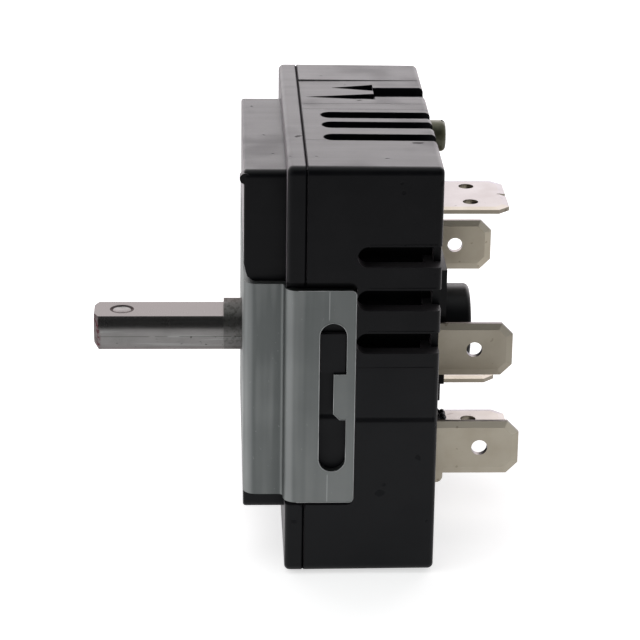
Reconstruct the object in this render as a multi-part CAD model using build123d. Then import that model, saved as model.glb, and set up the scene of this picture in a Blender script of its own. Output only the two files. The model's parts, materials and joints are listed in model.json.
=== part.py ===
from build123d import *
import os
from math import acos, atan2, cos, degrees, hypot, radians, sin, sqrt

# Infinite switch: rotary energy regulator with a moulded housing, steel bracket and push-on blades.
# Millimetres. The shaft lies on Y with its tip towards -Y, +Z is up, and the origin is where the
# shaft axis leaves the front face of the mounting bracket.

# Seating and running clearances
SEAT = 0.05
RUNNING = 0.05
CAM_GAP = 0.12

# How far a cutter, or a shape that only trims another, runs past the faces it meets
CUT = 1.0

# Housing and cover
SCREW_SPACING = 28.0
SCREW_MARGIN = 4.0
BOSS_LEDGE = 3.35
TOP_Z = 25.6
BOTTOM_Z = -21.7
CORNER_R = 0.9
EDGE_R = 0.6
COVER_FACE_Y = 4.6
COVER_PLATE = 1.95
HOUSING_DEPTH = 14.75
WALL = 2.0
REAR_WALL = 1.8
DRAFT_DEG = 0.4
RIM_HEIGHT = 1.2
RIM_THICKNESS = 1.2
SEAM_GROOVE = 0.2
SEAM_GROOVE_DEPTH = 0.3

# Boss on the cover
BOSS_STEP_IN = 6.9
BOSS_STEP_DOWN = 10.8
BOSS_TOP_INSET = 1.4
BOSS_BOTTOM_INSET = 6.4
BOSS_WALL = 2.0
BOSS_CORNER_R = 0.8
WELL_WALL = 1.1
WELL_CLEARANCE = 0.4
NUB_R = 0.6

# Mounting bracket
SHEET = 1.0
BRACKET_TOP_Z = 11.75
BRACKET_BOTTOM_Z = -13.15
BRACKET_BEND_R = 0.95
FLANGE_LENGTH = 5.6
JOG_PROUD = 0.2
SCREW_HOLE_R = 1.65
COLLAR_WALL = 0.7
COLLAR_HEIGHT = 1.2
PLATE_BORE_R = 3.3
KEY_SLOT_IN = 1.67
KEY_SLOT_WIDTH = 3.0
KEY_SLOT_TOP_Z = 8.05
KEY_SLOT_BOTTOM_Z = -9.45
TONGUE_WIDTH = 1.39
TONGUE_TOP_Z = 2.05
TONGUE_BOTTOM_Z = -2.9
RECESS_ABOVE = 0.95
RECESS_BELOW = 0.35
CATCH_HEIGHT = 4.5

# Vents and marks in the side and top walls
SIDE_VENT_DROP = 10.05
SIDE_VENT_PITCH = 4.95
SIDE_VENT_HEIGHT = 2.4
VENT_END_WALL = 0.8
VENT_REACH = 4.3
VENT_BREAK = 0.3
BLIND_VENT_DEPTH = 1.2
VENT_LIP = 0.2
BAFFLE = 0.8
BAFFLE_IN = 5.15
TOP_VENT_X = (1.15, 5.05, 9.85)
TOP_VENT_IN = 2.25
TOP_VENT_WIDTH = 2.5
BAND_TOP_Z = 2.85
BAND_BOTTOM_Z = -3.4
ARROW_DEPTH = 1.1
ARROW_BARB_IN = 8.85
ARROW_NEAR_TIP = 8.0
ARROW_FAR_TIP = 4.9
ARROW_SHANK_X = (-10.6, -6.7)
TOP_BAND_X = (-13.8, -5.6, -2.8)
TOP_BAND_STEP = 0.06

# Shaft
SHAFT_R = 3.0
SHAFT_FLAT = 1.8
SHAFT_REACH = 17.1
SHAFT_FLAT_LENGTH = 15.0
SHAFT_COLLAR_R = 4.0
SHAFT_COLLAR_LENGTH = 1.3
SHAFT_COLLAR_BACK = 0.3
SHAFT_TIP_BEVEL = 0.5
SHAFT_TIP_R = 2.2
PUSH_TRAVEL = 1.5
DIMPLE_R = 1.3
DIMPLE_DEPTH = 0.3
DIMPLE_FROM_TIP = 3.2

# Rotor, stacked in four layers behind the stop lug
TURN_DEG = 290.0
JOURNAL_R = 5.0
ROTOR_HUB_R = 6.0
SPIRAL_MIN_R = 7.0
CAM_LIFT = 1.1
SPIRAL_STEPS = 14
SPIRAL_RUN_ON_DEG = 5.0
SPIRAL_FALL_STEPS = 5
LOBE_HALF_DEG = 20.0
LAYER_GAP = 0.6
DETENT_DISC_IN = 1.6
NOTCH_FLOOR_HALF = 0.3
NOTCH_MOUTH_HALF = 2.3
REAR_HUB_R = 5.0
REAR_JOURNAL_R = 3.9
STOP_DEPTH = 4.0
STOP_LUG_R = 8.4
STOP_LUG_WIDTH = 2.0
STOP_LUG_HALF_DEG = 14.0
STOP_GAP_DEG = 2.0
STOP_RIB_HALF_DEG = 19.0

# Rear hub that carries the rotor's journal
HUB_POST_R = 4.7
HUB_POST_LENGTH = 5.15
HUB_END_WALL = 1.0
HUB_PAD_HEIGHT = 2.1
HUB_PAD_X = (-9.0, 4.9)
HUB_PAD_Z = (-5.7, 8.3)

# Ribs beside two of the level blades: width, height off the rear face and depth
LAMP_RIB = (2.8, 2.0, 4.2)
SUPPLY_RIB = (4.1, 2.7, 3.1)

# Return spring
SPRING_WIRE_R = 0.25
SPRING_MEAN_R = 2.4
SPRING_TURNS = 3.5
SPRING_LENGTH = 6.45

# Setting lever on its pin
PIVOT_INSET = 6.35
PIVOT_Z = 11.0
PIVOT_R = 1.2
PIVOT_BOSS_WALL = 1.2
LEVER_SHEET = 1.0
LEVER_HUB_R = 2.0
LEVER_SWING_DEG = 7.2
LEVER_CLEAR = 0.3
PIN_SEAT = 1.0
LEVER_END_R = 0.6
NOSE_X = 0.8
NOSE_R = 1.2
HORN_ROOT_WIDTH = 6.0
HORN_ROOT_DROP = 0.7
WEB_ABOVE_CAMS = 0.7
WEB_PAST_LEAF = 1.45

# Bimetal, heater and push stud
BIMETAL_THICKNESS = 0.6
BIMETAL_WIDTH = 4.6
BIMETAL_RISE = 1.0
BIMETAL_PAST_STUD = 1.0
BIMETAL_RIVET_FROM_END = 1.5
HEATER_LENGTH = 9.0
HEATER_WIDTH = 5.0
HEATER_THICKNESS = 0.8
HEATER_FROM_STUD = 2.4
CLIP_SHEET = 0.3
CLIP_WIDTH = 1.2
CLIP_FROM_END = 1.5
CLIP_MOUTH = 2.4
STUD_FROM_CONTACT = 3.6
STUD_R = 0.8
STUD_GAP = 0.925

# Cycling contact
ARM_PIN_X = 5.0
ARM_PIN_DROP = 7.1
ARM_PIN_R = 0.5
ARM_THICKNESS = 0.55
ARM_BEFORE_STUD = 1.1
ARM_WIDTH = 4.0
ARM_PAST_CONTACT = 1.9
ANCHOR_X = (2.6, 7.0)
ANCHOR_ABOVE_EYE = 0.25
EAR_HALF = 1.4
EAR_GAP_FRONT = 0.2
EAR_GAP_REAR = 0.4
CONTACT_GAP = 0.4
CONTACT_HEIGHT = 0.7
CONTACT_R = 1.3
CONTACT_SHANK_R = 0.7
CONTACT_TAIL_R = 1.0
CONTACT_TAIL = 0.3
SNAP_FOOT_FROM_PIN = 11.5
SNAP_CROWN_FROM_PIN = 6.0
SNAP_CROWN_RISE = 4.6
SNAP_HALF_WIDTH = 1.2

# Terminal stock and blades
TAB_THICKNESS = 0.8
TAB_WIDTH = 6.3
TAB_REACH = 9.75
TAB_HOLE_R = 0.9
TAB_HOLE_FROM_TIP = 4.4
TAB_CHAMFER = 1.3
TAB_BEND_R = 0.8
COIN_WIDTH = 0.75
COIN_DEPTH = 0.16
SHOULDER = 0.8
LOAD_TAB_INSET = 3.35
LOAD_TAB_Z = 3.6
LOAD_TAB_SHORT = 0.28
CONTACT_FROM_LOAD_TAB = 3.0
SECOND_LOAD_FROM_POST = 1.3
SECOND_LOAD_Z = -0.85
SECOND_LOAD_FOOT = 2.65
SECOND_LINE_INSET = 6.4
SECOND_LINE_Z = -9.2
LUG_REACH = 1.28
LUG_DROP = 1.12
PILOT_SUPPLY_INSET = 7.7
PILOT_LAMP_X = 2.0
PILOT_LAMP_LOWER = 0.17
DOUBLE_TAB_X = -6.7
DOUBLE_TAB_DROP = 12.3
DOUBLE_TAB_HALF = 5.55
DOUBLE_HOLE_SPACING = 5.9
SLIT_HALF = 0.5
SLIT_DEPTH = 1.1

# Leaf blades
LEAF_THICKNESS = 0.25
LEAF_GAP = 0.15
LEAF_TAIL = 2.5
LINE_CONTACT_Z = 8.9
LINE_TONGUE_HALF = 1.6
PILOT_CONTACT_X = 8.7
RIVET_HEAD_R = 1.3
RIVET_HEAD = 0.5
RIVET_SHANK_R = 0.75

# Detent spring between its two posts
DETENT_POST_OUT = 2.6
DETENT_POST_Z = 9.2
DETENT_POST_HALF = 1.2
DETENT_KNEE_OUT = 1.4
DETENT_KNEE_Z = 3.2
DETENT_ENTRY = 0.45
DETENT_SLOT = 0.36

# Calibration screw
SCREW_X = -2.5
SCREW_DROP = 3.5
SCREW_HEAD_R = 1.8
SCREW_HEAD = 2.0
SCREW_SHANK_R = 1.25
SCREW_SLOT = 0.5

# Housing and cover worked out from the driving dimensions
BOSS_HALF = SCREW_SPACING / 2 + SCREW_MARGIN
HALF = BOSS_HALF + BOSS_LEDGE
WIDTH = 2 * HALF
HEIGHT = TOP_Z - BOTTOM_Z
MID_Z = (TOP_Z + BOTTOM_Z) / 2
SEAM_Y = COVER_FACE_Y + COVER_PLATE
REAR_Y = SEAM_Y + HOUSING_DEPTH
FLOOR_Y = REAR_Y - REAR_WALL
BOSS_FLOOR_Y = SHEET + BOSS_WALL
BOSS_TOP_Z = TOP_Z - BOSS_TOP_INSET
BOSS_BOTTOM_Z = BOTTOM_Z + BOSS_BOTTOM_INSET
RECESS_X = HALF - SHEET - SEAT
FLANGE_END_Y = SEAM_Y + FLANGE_LENGTH
KEY_SLOT_Y = SEAM_Y + KEY_SLOT_IN
SIDE_VENT_Z = [TOP_Z - SIDE_VENT_DROP - i * SIDE_VENT_PITCH for i in range(3)]
VENT_START_Y = FLANGE_END_Y + SEAT
WELL_R = SCREW_HOLE_R + COLLAR_WALL + WELL_CLEARANCE
SCREW_Z = TOP_Z - SCREW_DROP

# Fixed contact, leaf and cams, counted outwards from the hub
SECOND_LOAD_X = HUB_POST_R + SECOND_LOAD_FROM_POST
LINE_TONGUE_X = SECOND_LOAD_X + SECOND_LOAD_FOOT
LEAF_R = LINE_TONGUE_X + TAB_THICKNESS / 2 + 2 * CONTACT_HEIGHT + CONTACT_GAP
CAM_LOBE_R = LEAF_R - LEAF_GAP
CAM_BASE_R = CAM_LOBE_R - CAM_LIFT
DETENT_DISC_R = CAM_BASE_R - DETENT_DISC_IN
DETENT_POST_X = -DETENT_DISC_R - DETENT_POST_OUT

# Rotor and shaft along Y
LAYER = (FLOOR_Y - BOSS_FLOOR_Y - STOP_DEPTH) / 4
SPIRAL_Y = BOSS_FLOOR_Y + STOP_DEPTH
PILOT_CAM_Y = SPIRAL_Y + LAYER
LINE_CAM_Y = PILOT_CAM_Y + LAYER
DETENT_DISC_Y = LINE_CAM_Y + LAYER
CAM_WIDTH = LAYER - LAYER_GAP
DETENT_DISC_WIDTH = CAM_WIDTH - LAYER_GAP
SPIRAL_CENTRE_Y = SPIRAL_Y + CAM_WIDTH / 2
PILOT_LEAF_Y = PILOT_CAM_Y + CAM_WIDTH / 2
LINE_LEAF_Y = LINE_CAM_Y + CAM_WIDTH / 2
LEAF_WIDTH = LAYER
BORE_R = SHAFT_R + RUNNING
SHAFT_COLLAR_Y = SHEET + SHAFT_COLLAR_BACK
HUB_END_Y = REAR_Y + HUB_POST_LENGTH
HUB_BORE_END_Y = HUB_END_Y - HUB_END_WALL
SHAFT_REAR_Y = HUB_BORE_END_Y - SPRING_LENGTH

# Lever, bimetal and heater
PIVOT_X = -HALF + PIVOT_INSET
LEVER_FRONT_Y = SPIRAL_CENTRE_Y - LEVER_SHEET / 2
LEVER_REAR_Y = DETENT_DISC_Y - LEVER_SHEET
MECHANISM_Y = (LEVER_FRONT_Y + LEVER_REAR_Y) / 2
WEB_Z = CAM_LOBE_R + WEB_ABOVE_CAMS
WEB_TOP_Z = WEB_Z + LEVER_SHEET
WEB_END_X = LEAF_R + WEB_PAST_LEAF
BIMETAL_Z = WEB_TOP_Z + BIMETAL_RISE
HEATER_Z = BIMETAL_Z + BIMETAL_THICKNESS
BIMETAL_RIVET_X = WEB_END_X - BIMETAL_RIVET_FROM_END

# Cycling contact and its terminals
LOAD_TAB_X = -HALF + LOAD_TAB_INSET
MAIN_CONTACT_X = LOAD_TAB_X + CONTACT_FROM_LOAD_TAB
STUD_X = MAIN_CONTACT_X + STUD_FROM_CONTACT
HEATER_X = STUD_X + HEATER_FROM_STUD
ARM_PIN_Z = TOP_Z - ARM_PIN_DROP
EYE_R = ARM_PIN_R + RUNNING / 2 + ARM_THICKNESS
ARM_Z = ARM_PIN_Z - EYE_R
ARM_FRONT_Y = MECHANISM_Y - ARM_BEFORE_STUD
ARM_REAR_Y = ARM_FRONT_Y + ARM_WIDTH
ARM_MID_Y = ARM_FRONT_Y + ARM_WIDTH / 2
EAR_FRONT_Y = ARM_FRONT_Y - EAR_GAP_FRONT - TAB_THICKNESS
EAR_REAR_Y = ARM_REAR_Y + EAR_GAP_REAR
LOAD_SHELF_Z = ARM_Z - 2 * CONTACT_HEIGHT - CONTACT_GAP - TAB_THICKNESS / 2
ANCHOR_Z = ARM_PIN_Z + EYE_R + ANCHOR_ABOVE_EYE + TAB_THICKNESS / 2

# Blades and leaves
TAB_TIP_Y = REAR_Y + TAB_REACH
FOOT_Y = FLOOR_Y - TAB_THICKNESS / 2
DOUBLE_TAB_Z = TOP_Z - DOUBLE_TAB_DROP
PILOT_SUPPLY_X = -HALF + PILOT_SUPPLY_INSET
LINE_ROOT_X = LEAF_R + LEAF_THICKNESS + TAB_THICKNESS / 2
SECOND_LINE_X = HALF - SECOND_LINE_INSET
PILOT_LEAF_Z = -LEAF_R - LEAF_THICKNESS
PILOT_SUPPLY_Z = PILOT_LEAF_Z - TAB_THICKNESS / 2
PILOT_LAMP_Z = PILOT_SUPPLY_Z - PILOT_LAMP_LOWER
PILOT_TONGUE_Z = PILOT_LEAF_Z + LEAF_THICKNESS + 2 * CONTACT_HEIGHT + CONTACT_GAP + TAB_THICKNESS / 2


def block(x0, x1, y0, y1, z0, z1):
    """A box given by its lowest and highest corners."""
    return Pos((x0 + x1) / 2, (y0 + y1) / 2, (z0 + z1) / 2) * Box(x1 - x0, y1 - y0, z1 - z0)


def prism(shape, y0, y1):
    """A sketch drawn in X and Z, made solid from y0 to y1."""
    return extrude(Plane.XZ.offset(-y1) * shape, amount=y1 - y0)


def side_prism(shape, x0, x1):
    """A sketch drawn in Y and Z, made solid from x0 to x1."""
    return extrude(Plane.YZ.offset(x0) * shape, amount=x1 - x0)


def flat_prism(shape, z0, z1):
    """A sketch drawn in X and Y, made solid from z0 to z1."""
    return extrude(Plane.XY.offset(z0) * shape, amount=z1 - z0)


def disc(x, z, radius, y0, y1):
    """A cylinder along Y."""
    return prism(Pos(x, z) * Circle(radius), y0, y1)


def rod_x(y, z, radius, x0, x1):
    """A cylinder along X."""
    return side_prism(Pos(y, z) * Circle(radius), x0, x1)


def rod_z(x, y, radius, z0, z1):
    """A cylinder along Z."""
    return flat_prism(Pos(x, y) * Circle(radius), z0, z1)


def lathe(*half_profile):
    """A turned piece round the shaft's axis, from points in radius and Y."""
    return revolve(Polygon(*half_profile, align=None), axis=Axis.Y)


def polar(radius, clockwise_deg):
    """A point in X and Z, its angle counted clockwise from +Z."""
    return radius * sin(radians(clockwise_deg)), radius * cos(radians(clockwise_deg))


def bore(radius):
    """Radius of a hole that a pin or shank of this radius is seated in."""
    return radius + SEAT / 5


def sector(radius, mid_deg, half_deg):
    """A pie slice in X and Z, its angle counted clockwise from +Z."""
    first = polar(radius, mid_deg - half_deg)
    last = polar(radius, mid_deg + half_deg)
    arc = ThreePointArc(first, polar(radius, mid_deg), last)
    return make_face([Line((0, 0), first), arc, Line(last, (0, 0))])


def strip(points, radius, thickness):
    """The section of a folded sheet along its middle line."""
    return trace(FilletPolyline(*points, radius=radius), line_width=thickness)


def turned(x, z, degrees_anticlockwise):
    """A point of the lever after it has swung about its pivot."""
    a = radians(degrees_anticlockwise)
    dx = x - PIVOT_X
    dz = z - PIVOT_Z
    return PIVOT_X + dx * cos(a) - dz * sin(a), PIVOT_Z + dx * sin(a) + dz * cos(a)


def outwards(side, inner, outer):
    """The two X bounds between two distances from the middle, on one side."""
    return sorted((side * inner, side * outer))


# Where the lever's nose rests on the spiral with the switch off
NOSE_START_R = SPIRAL_MIN_R + CAM_GAP + NOSE_R
NOSE_Z = sqrt(NOSE_START_R**2 - NOSE_X**2)


def key_slot():
    """Round-ended slot in the bracket's side flange, in Y and Z."""
    length = KEY_SLOT_TOP_Z - KEY_SLOT_BOTTOM_Z
    middle = Pos(KEY_SLOT_Y + KEY_SLOT_WIDTH / 2, (KEY_SLOT_TOP_Z + KEY_SLOT_BOTTOM_Z) / 2)
    return middle * Rot(0, 0, 90) * SlotOverall(length, KEY_SLOT_WIDTH)


def bracket_section(grow=0.0):
    """The bracket's folded sheet in X and Y: front plate, jogs at the cover and side flanges."""
    arm_x = BOSS_HALF + SEAT + SHEET / 2
    flange_x = HALF - SHEET / 2
    plate_y = SHEET / 2
    jog_y = COVER_FACE_Y - JOG_PROUD + SHEET / 2
    half_path = [(arm_x, plate_y), (arm_x, jog_y), (flange_x, jog_y), (flange_x, FLANGE_END_Y)]
    path = [(-x, y) for x, y in reversed(half_path)] + half_path
    return strip(path, BRACKET_BEND_R, SHEET + grow)


def mounting_bracket():
    """One steel sheet folded over the boss, with drawn screw collars and keyed side slots."""
    body = flat_prism(bracket_section(), BRACKET_BOTTOM_Z, BRACKET_TOP_Z)
    ends = body.edges().filter_by(Axis.X).group_by(Axis.Y)[-1]
    body = fillet(ends, SHEET / 2)
    slot_end_y = KEY_SLOT_Y + KEY_SLOT_WIDTH
    tongue_y = slot_end_y - TONGUE_WIDTH
    slope = TONGUE_WIDTH / 2
    tongue = Polygon(
        (tongue_y, TONGUE_BOTTOM_Z + slope / 2),
        (tongue_y + slope, TONGUE_BOTTOM_Z - slope / 2),
        (slot_end_y + SHEET, TONGUE_BOTTOM_Z - slope / 2),
        (slot_end_y + SHEET, TONGUE_TOP_Z),
        (tongue_y, TONGUE_TOP_Z),
        align=None,
    )
    opening = key_slot() - tongue
    for side in (-1, 1):
        low, high = outwards(side, HALF - 2 * SHEET, HALF + SHEET)
        body -= side_prism(opening, low, high)
        x = side * SCREW_SPACING / 2
        body += disc(x, 0, SCREW_HOLE_R + COLLAR_WALL, SHEET / 2, SHEET + COLLAR_HEIGHT)
        body -= disc(x, 0, SCREW_HOLE_R, -SHEET, 2 * SHEET + COLLAR_HEIGHT)
    return body - disc(0, 0, PLATE_BORE_R, -SHEET, 2 * SHEET)


def boss_outline(inset=0.0):
    """Outline of the cover's boss in X and Z: its upper far corner is stepped in."""
    left = -BOSS_HALF + inset
    right = BOSS_HALF - inset
    step_x = left + BOSS_STEP_IN
    step_z = BOSS_TOP_Z - BOSS_STEP_DOWN - inset
    bottom = BOSS_BOTTOM_Z + inset
    top = BOSS_TOP_Z - inset
    points = ((left, bottom), (right, bottom), (right, top), (step_x, top), (step_x, step_z), (left, step_z))
    face = Polygon(*points, align=None)
    return fillet(face.vertices(), BOSS_CORNER_R)


def flange_recess(side):
    """Shallow pocket that the bracket's flange lies in, cut from cover and housing."""
    top = BRACKET_TOP_Z + RECESS_ABOVE
    bottom = BRACKET_BOTTOM_Z - RECESS_BELOW
    low, high = outwards(side, RECESS_X, HALF + WALL)
    pocket = block(low, high, COVER_FACE_Y - WALL, FLANGE_END_Y + 2 * SEAT, bottom, top)
    corners = pocket.edges().filter_by(Axis.X).group_by(Axis.Y)[-1]
    return fillet(corners, CORNER_R)


def channel_bevel():
    """Wedge off the boss's front edge above the bracket, in Y and Z."""
    return Polygon(
        (-SHEET, BRACKET_TOP_Z),
        (SHEET, BRACKET_TOP_Z),
        (0.4 * SHEET, BRACKET_TOP_Z + 0.5 * SHEET),
        (0, BRACKET_TOP_Z + 2 * SHEET),
        (-SHEET, BRACKET_TOP_Z + 2 * SHEET),
        align=None,
    )


def front_cover():
    """Moulded cover: plate, hollow boss with bearing and screw wells, locating rim and stop rib."""
    rim_x = HALF - WALL - 2 * SEAT
    plate = Pos(0, MID_Z) * RectangleRounded(WIDTH, HEIGHT, CORNER_R)
    body = prism(plate, COVER_FACE_Y, SEAM_Y)
    body = fillet(body.faces().sort_by(Axis.Y)[0].edges(), EDGE_R)
    body += prism(boss_outline(), 0, SEAM_Y)
    front = body.faces().sort_by(Axis.Y)[0].edges()
    body = fillet(front, EDGE_R / 2)
    # Locating rim that enters the housing
    rim_height = HEIGHT - 2 * WALL - 4 * SEAT
    rim = Pos(0, MID_Z) * RectangleRounded(2 * rim_x, rim_height, CORNER_R)
    rim_hole = Pos(0, MID_Z) * Rectangle(2 * (rim_x - RIM_THICKNESS), rim_height - 2 * RIM_THICKNESS)
    body += prism(rim - rim_hole, SEAM_Y - SEAT, SEAM_Y + RIM_HEIGHT)
    # Channel for the bracket: across the boss, down its sides and out over the plate
    channel_bottom = BRACKET_BOTTOM_Z - SEAT
    channel_top = BRACKET_TOP_Z + SEAT
    body -= block(-HALF, HALF, -SHEET, SHEET, channel_bottom, channel_top)
    body -= flat_prism(bracket_section(SEAT), channel_bottom, channel_top)
    body -= side_prism(channel_bevel(), -BOSS_HALF, BOSS_HALF)
    # Hollow of the boss
    body -= prism(boss_outline(BOSS_WALL), BOSS_FLOOR_Y, SEAM_Y + SEAT)
    for side in (-1, 1):
        body -= flange_recess(side)
        low, high = outwards(side, BOSS_HALF + SEAT / 2, HALF + WALL)
        jog_back = COVER_FACE_Y - JOG_PROUD + SHEET
        body -= block(low, high, COVER_FACE_Y - WALL, jog_back, channel_bottom, channel_top)
        # Well behind each screw hole, which takes the collar and the screw's end
        x = side * SCREW_SPACING / 2
        body += disc(x, 0, WELL_R + WELL_WALL, BOSS_FLOOR_Y - SEAT, SEAM_Y)
        body -= disc(x, 0, WELL_R, SHEET / 2, SEAM_Y - SHEET)
    # Post that holds the front end of the lever's pin
    post_end = LEVER_FRONT_Y - LEVER_CLEAR
    body += disc(PIVOT_X, PIVOT_Z, PIVOT_R + PIVOT_BOSS_WALL, BOSS_FLOOR_Y - SEAT, post_end)
    body -= disc(PIVOT_X, PIVOT_Z, bore(PIVOT_R), COVER_FACE_Y, LEVER_FRONT_Y)
    # Stop rib for the rotor's lug
    rib = sector(STOP_LUG_R + SHEET, 180, STOP_RIB_HALF_DEG) - Circle(ROTOR_HUB_R + LEVER_CLEAR)
    body += prism(rib, BOSS_FLOOR_Y - SEAT, SPIRAL_Y - 2 * SEAT)
    body -= disc(0, 0, JOURNAL_R + RUNNING, SHEET / 2, BOSS_FLOOR_Y + SHEET)
    # Gate mark left by the mould at the boss's upper near edge
    nub_z = BOSS_TOP_Z - EDGE_R / 2 - NUB_R
    return body + rod_x(NUB_R / 4, nub_z, NUB_R, BOSS_HALF - 2 * NUB_R, BOSS_HALF - SEAT)


# Each upright blade's place and the side it folds towards, then each level blade's place,
# half width and whether it folds upwards
UPRIGHT_BLADES = (
    (LOAD_TAB_X, LOAD_TAB_Z, 0),
    (SECOND_LOAD_X, SECOND_LOAD_Z, 1),
    (SECOND_LINE_X, SECOND_LINE_Z, -1),
)
LEVEL_BLADES = (
    (PILOT_SUPPLY_X, PILOT_SUPPLY_Z, TAB_WIDTH / 2, False),
    (PILOT_LAMP_X, PILOT_LAMP_Z, TAB_WIDTH / 2, True),
    (DOUBLE_TAB_X, DOUBLE_TAB_Z, DOUBLE_TAB_HALF, True),
)


def terminal_slots():
    """Cuts in the housing's rear wall, one for each terminal, with relief where a blade folds."""
    wide = TAB_WIDTH / 2 + SEAT
    thin = TAB_THICKNESS / 2 + SEAT
    relief = TAB_BEND_R + SEAT
    relief_end = FLOOR_Y + TAB_BEND_R - TAB_THICKNESS / 2 + SEAT
    end = REAR_Y + HUB_PAD_HEIGHT + WALL
    start = FLOOR_Y - WALL
    cuts = []
    for x, z, fold in UPRIGHT_BLADES:
        cuts.append(block(x - thin, x + thin, start, end, z - wide, z + wide))
        if fold:
            low, high = sorted((x, x + fold * relief))
            cuts.append(block(low, high, start, relief_end, z - wide, z + wide))
    for x, z, half, fold in LEVEL_BLADES:
        reach = half + SEAT
        cuts.append(block(x - reach, x + reach, start, end, z - thin, z + thin))
        if fold:
            cuts.append(block(x - reach, x + reach, start, relief_end, z, z + relief))
    return cuts


def arrow_recess():
    """Arrow-shaped pocket in the top face: two barbs and a channel out to the rear edge."""
    far_x, near_x = ARROW_SHANK_X
    barb_y = SEAM_Y + ARROW_BARB_IN
    splay = (near_x - far_x) / 3
    near_tip = (near_x, barb_y - ARROW_NEAR_TIP)
    far_tip = (far_x, barb_y - ARROW_FAR_TIP)
    near_barb = Polygon(near_tip, (near_x + splay, barb_y), (near_x - splay, barb_y), align=None)
    far_barb = Polygon(far_tip, (far_x + splay, barb_y), (far_x - splay, barb_y), align=None)
    bottom = TOP_Z - ARROW_DEPTH
    pocket = flat_prism(near_barb + far_barb, bottom, TOP_Z + WALL)
    return pocket + block(far_x, near_x, barb_y - SEAT, REAR_Y + WALL, bottom, TOP_Z + WALL)


def vent_outline(z):
    """Side vent in Y and Z: round at its front end and open to the rear."""
    radius = SIDE_VENT_HEIGHT / 2
    face = Pos(VENT_START_Y + radius, z) * Circle(radius)
    length = REAR_Y + WALL - VENT_START_Y - radius
    return face + Pos(VENT_START_Y + radius + length / 2, z) * Rectangle(length, SIDE_VENT_HEIGHT)


def side_marks(side):
    """Raised band below the vents and a thin lip above each vent, on one side wall."""
    low, high = outwards(side, HALF - WALL / 2, HALF)
    start = VENT_START_Y + RUNNING
    end = REAR_Y - EDGE_R
    marks = block(low, high, start, end, BAND_BOTTOM_Z, BAND_TOP_Z)
    for z in SIDE_VENT_Z:
        edge = z + SIDE_VENT_HEIGHT / 2
        marks += block(low, high, start + SIDE_VENT_HEIGHT / 2, end, edge, edge + VENT_LIP)
    return marks


def side_vents(side):
    """Cuts for one side's vents; the far side's are blind, with the load terminal right behind."""
    depth = BLIND_VENT_DEPTH if side < 0 else WALL + VENT_BREAK
    low, high = outwards(side, HALF - depth, HALF + WALL)
    cuts = [side_prism(vent_outline(z), low, high) for z in SIDE_VENT_Z]
    if side > 0:
        half = SIDE_VENT_HEIGHT / 2
        for z in SIDE_VENT_Z:
            end = REAR_Y - VENT_END_WALL
            cuts.append(block(HALF - VENT_REACH, HALF, FLOOR_Y - SHEET, end, z - half, z + half))
    return cuts


def top_vent(x):
    """Cut for one of the top vents: round at its front end and open to the rear."""
    half = TOP_VENT_WIDTH / 2
    low = TOP_Z - WALL - VENT_BREAK
    slot = block(x - half, x + half, SEAM_Y + TOP_VENT_IN, REAR_Y + WALL, low, TOP_Z + WALL)
    return fillet(slot.edges().filter_by(Axis.Z).group_by(Axis.Y)[0], half - SEAT)


def rear_fittings():
    """Hub post with its pad, and the ribs beside two of the level blades."""
    start = REAR_Y - SHEET
    pad_end = REAR_Y + HUB_PAD_HEIGHT
    solids = block(HUB_PAD_X[0], HUB_PAD_X[1], start, pad_end, HUB_PAD_Z[0], HUB_PAD_Z[1])
    post = disc(0, 0, HUB_POST_R, REAR_Y, HUB_END_Y)
    solids += fillet(post.edges().sort_by(Axis.Y)[-1], EDGE_R)
    beside = TAB_WIDTH / 2 + LEVER_CLEAR
    lamp_rib_x = PILOT_LAMP_X + beside + SHEET
    supply_rib_x = PILOT_SUPPLY_X + beside
    for x, blade_z, rib in ((lamp_rib_x, PILOT_LAMP_Z, LAMP_RIB), (supply_rib_x, PILOT_SUPPLY_Z, SUPPLY_RIB)):
        width, height, depth = rib
        low = blade_z - TAB_THICKNESS
        solids += block(x, x + width, start, REAR_Y + height, low, low + depth)
    return solids


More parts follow.
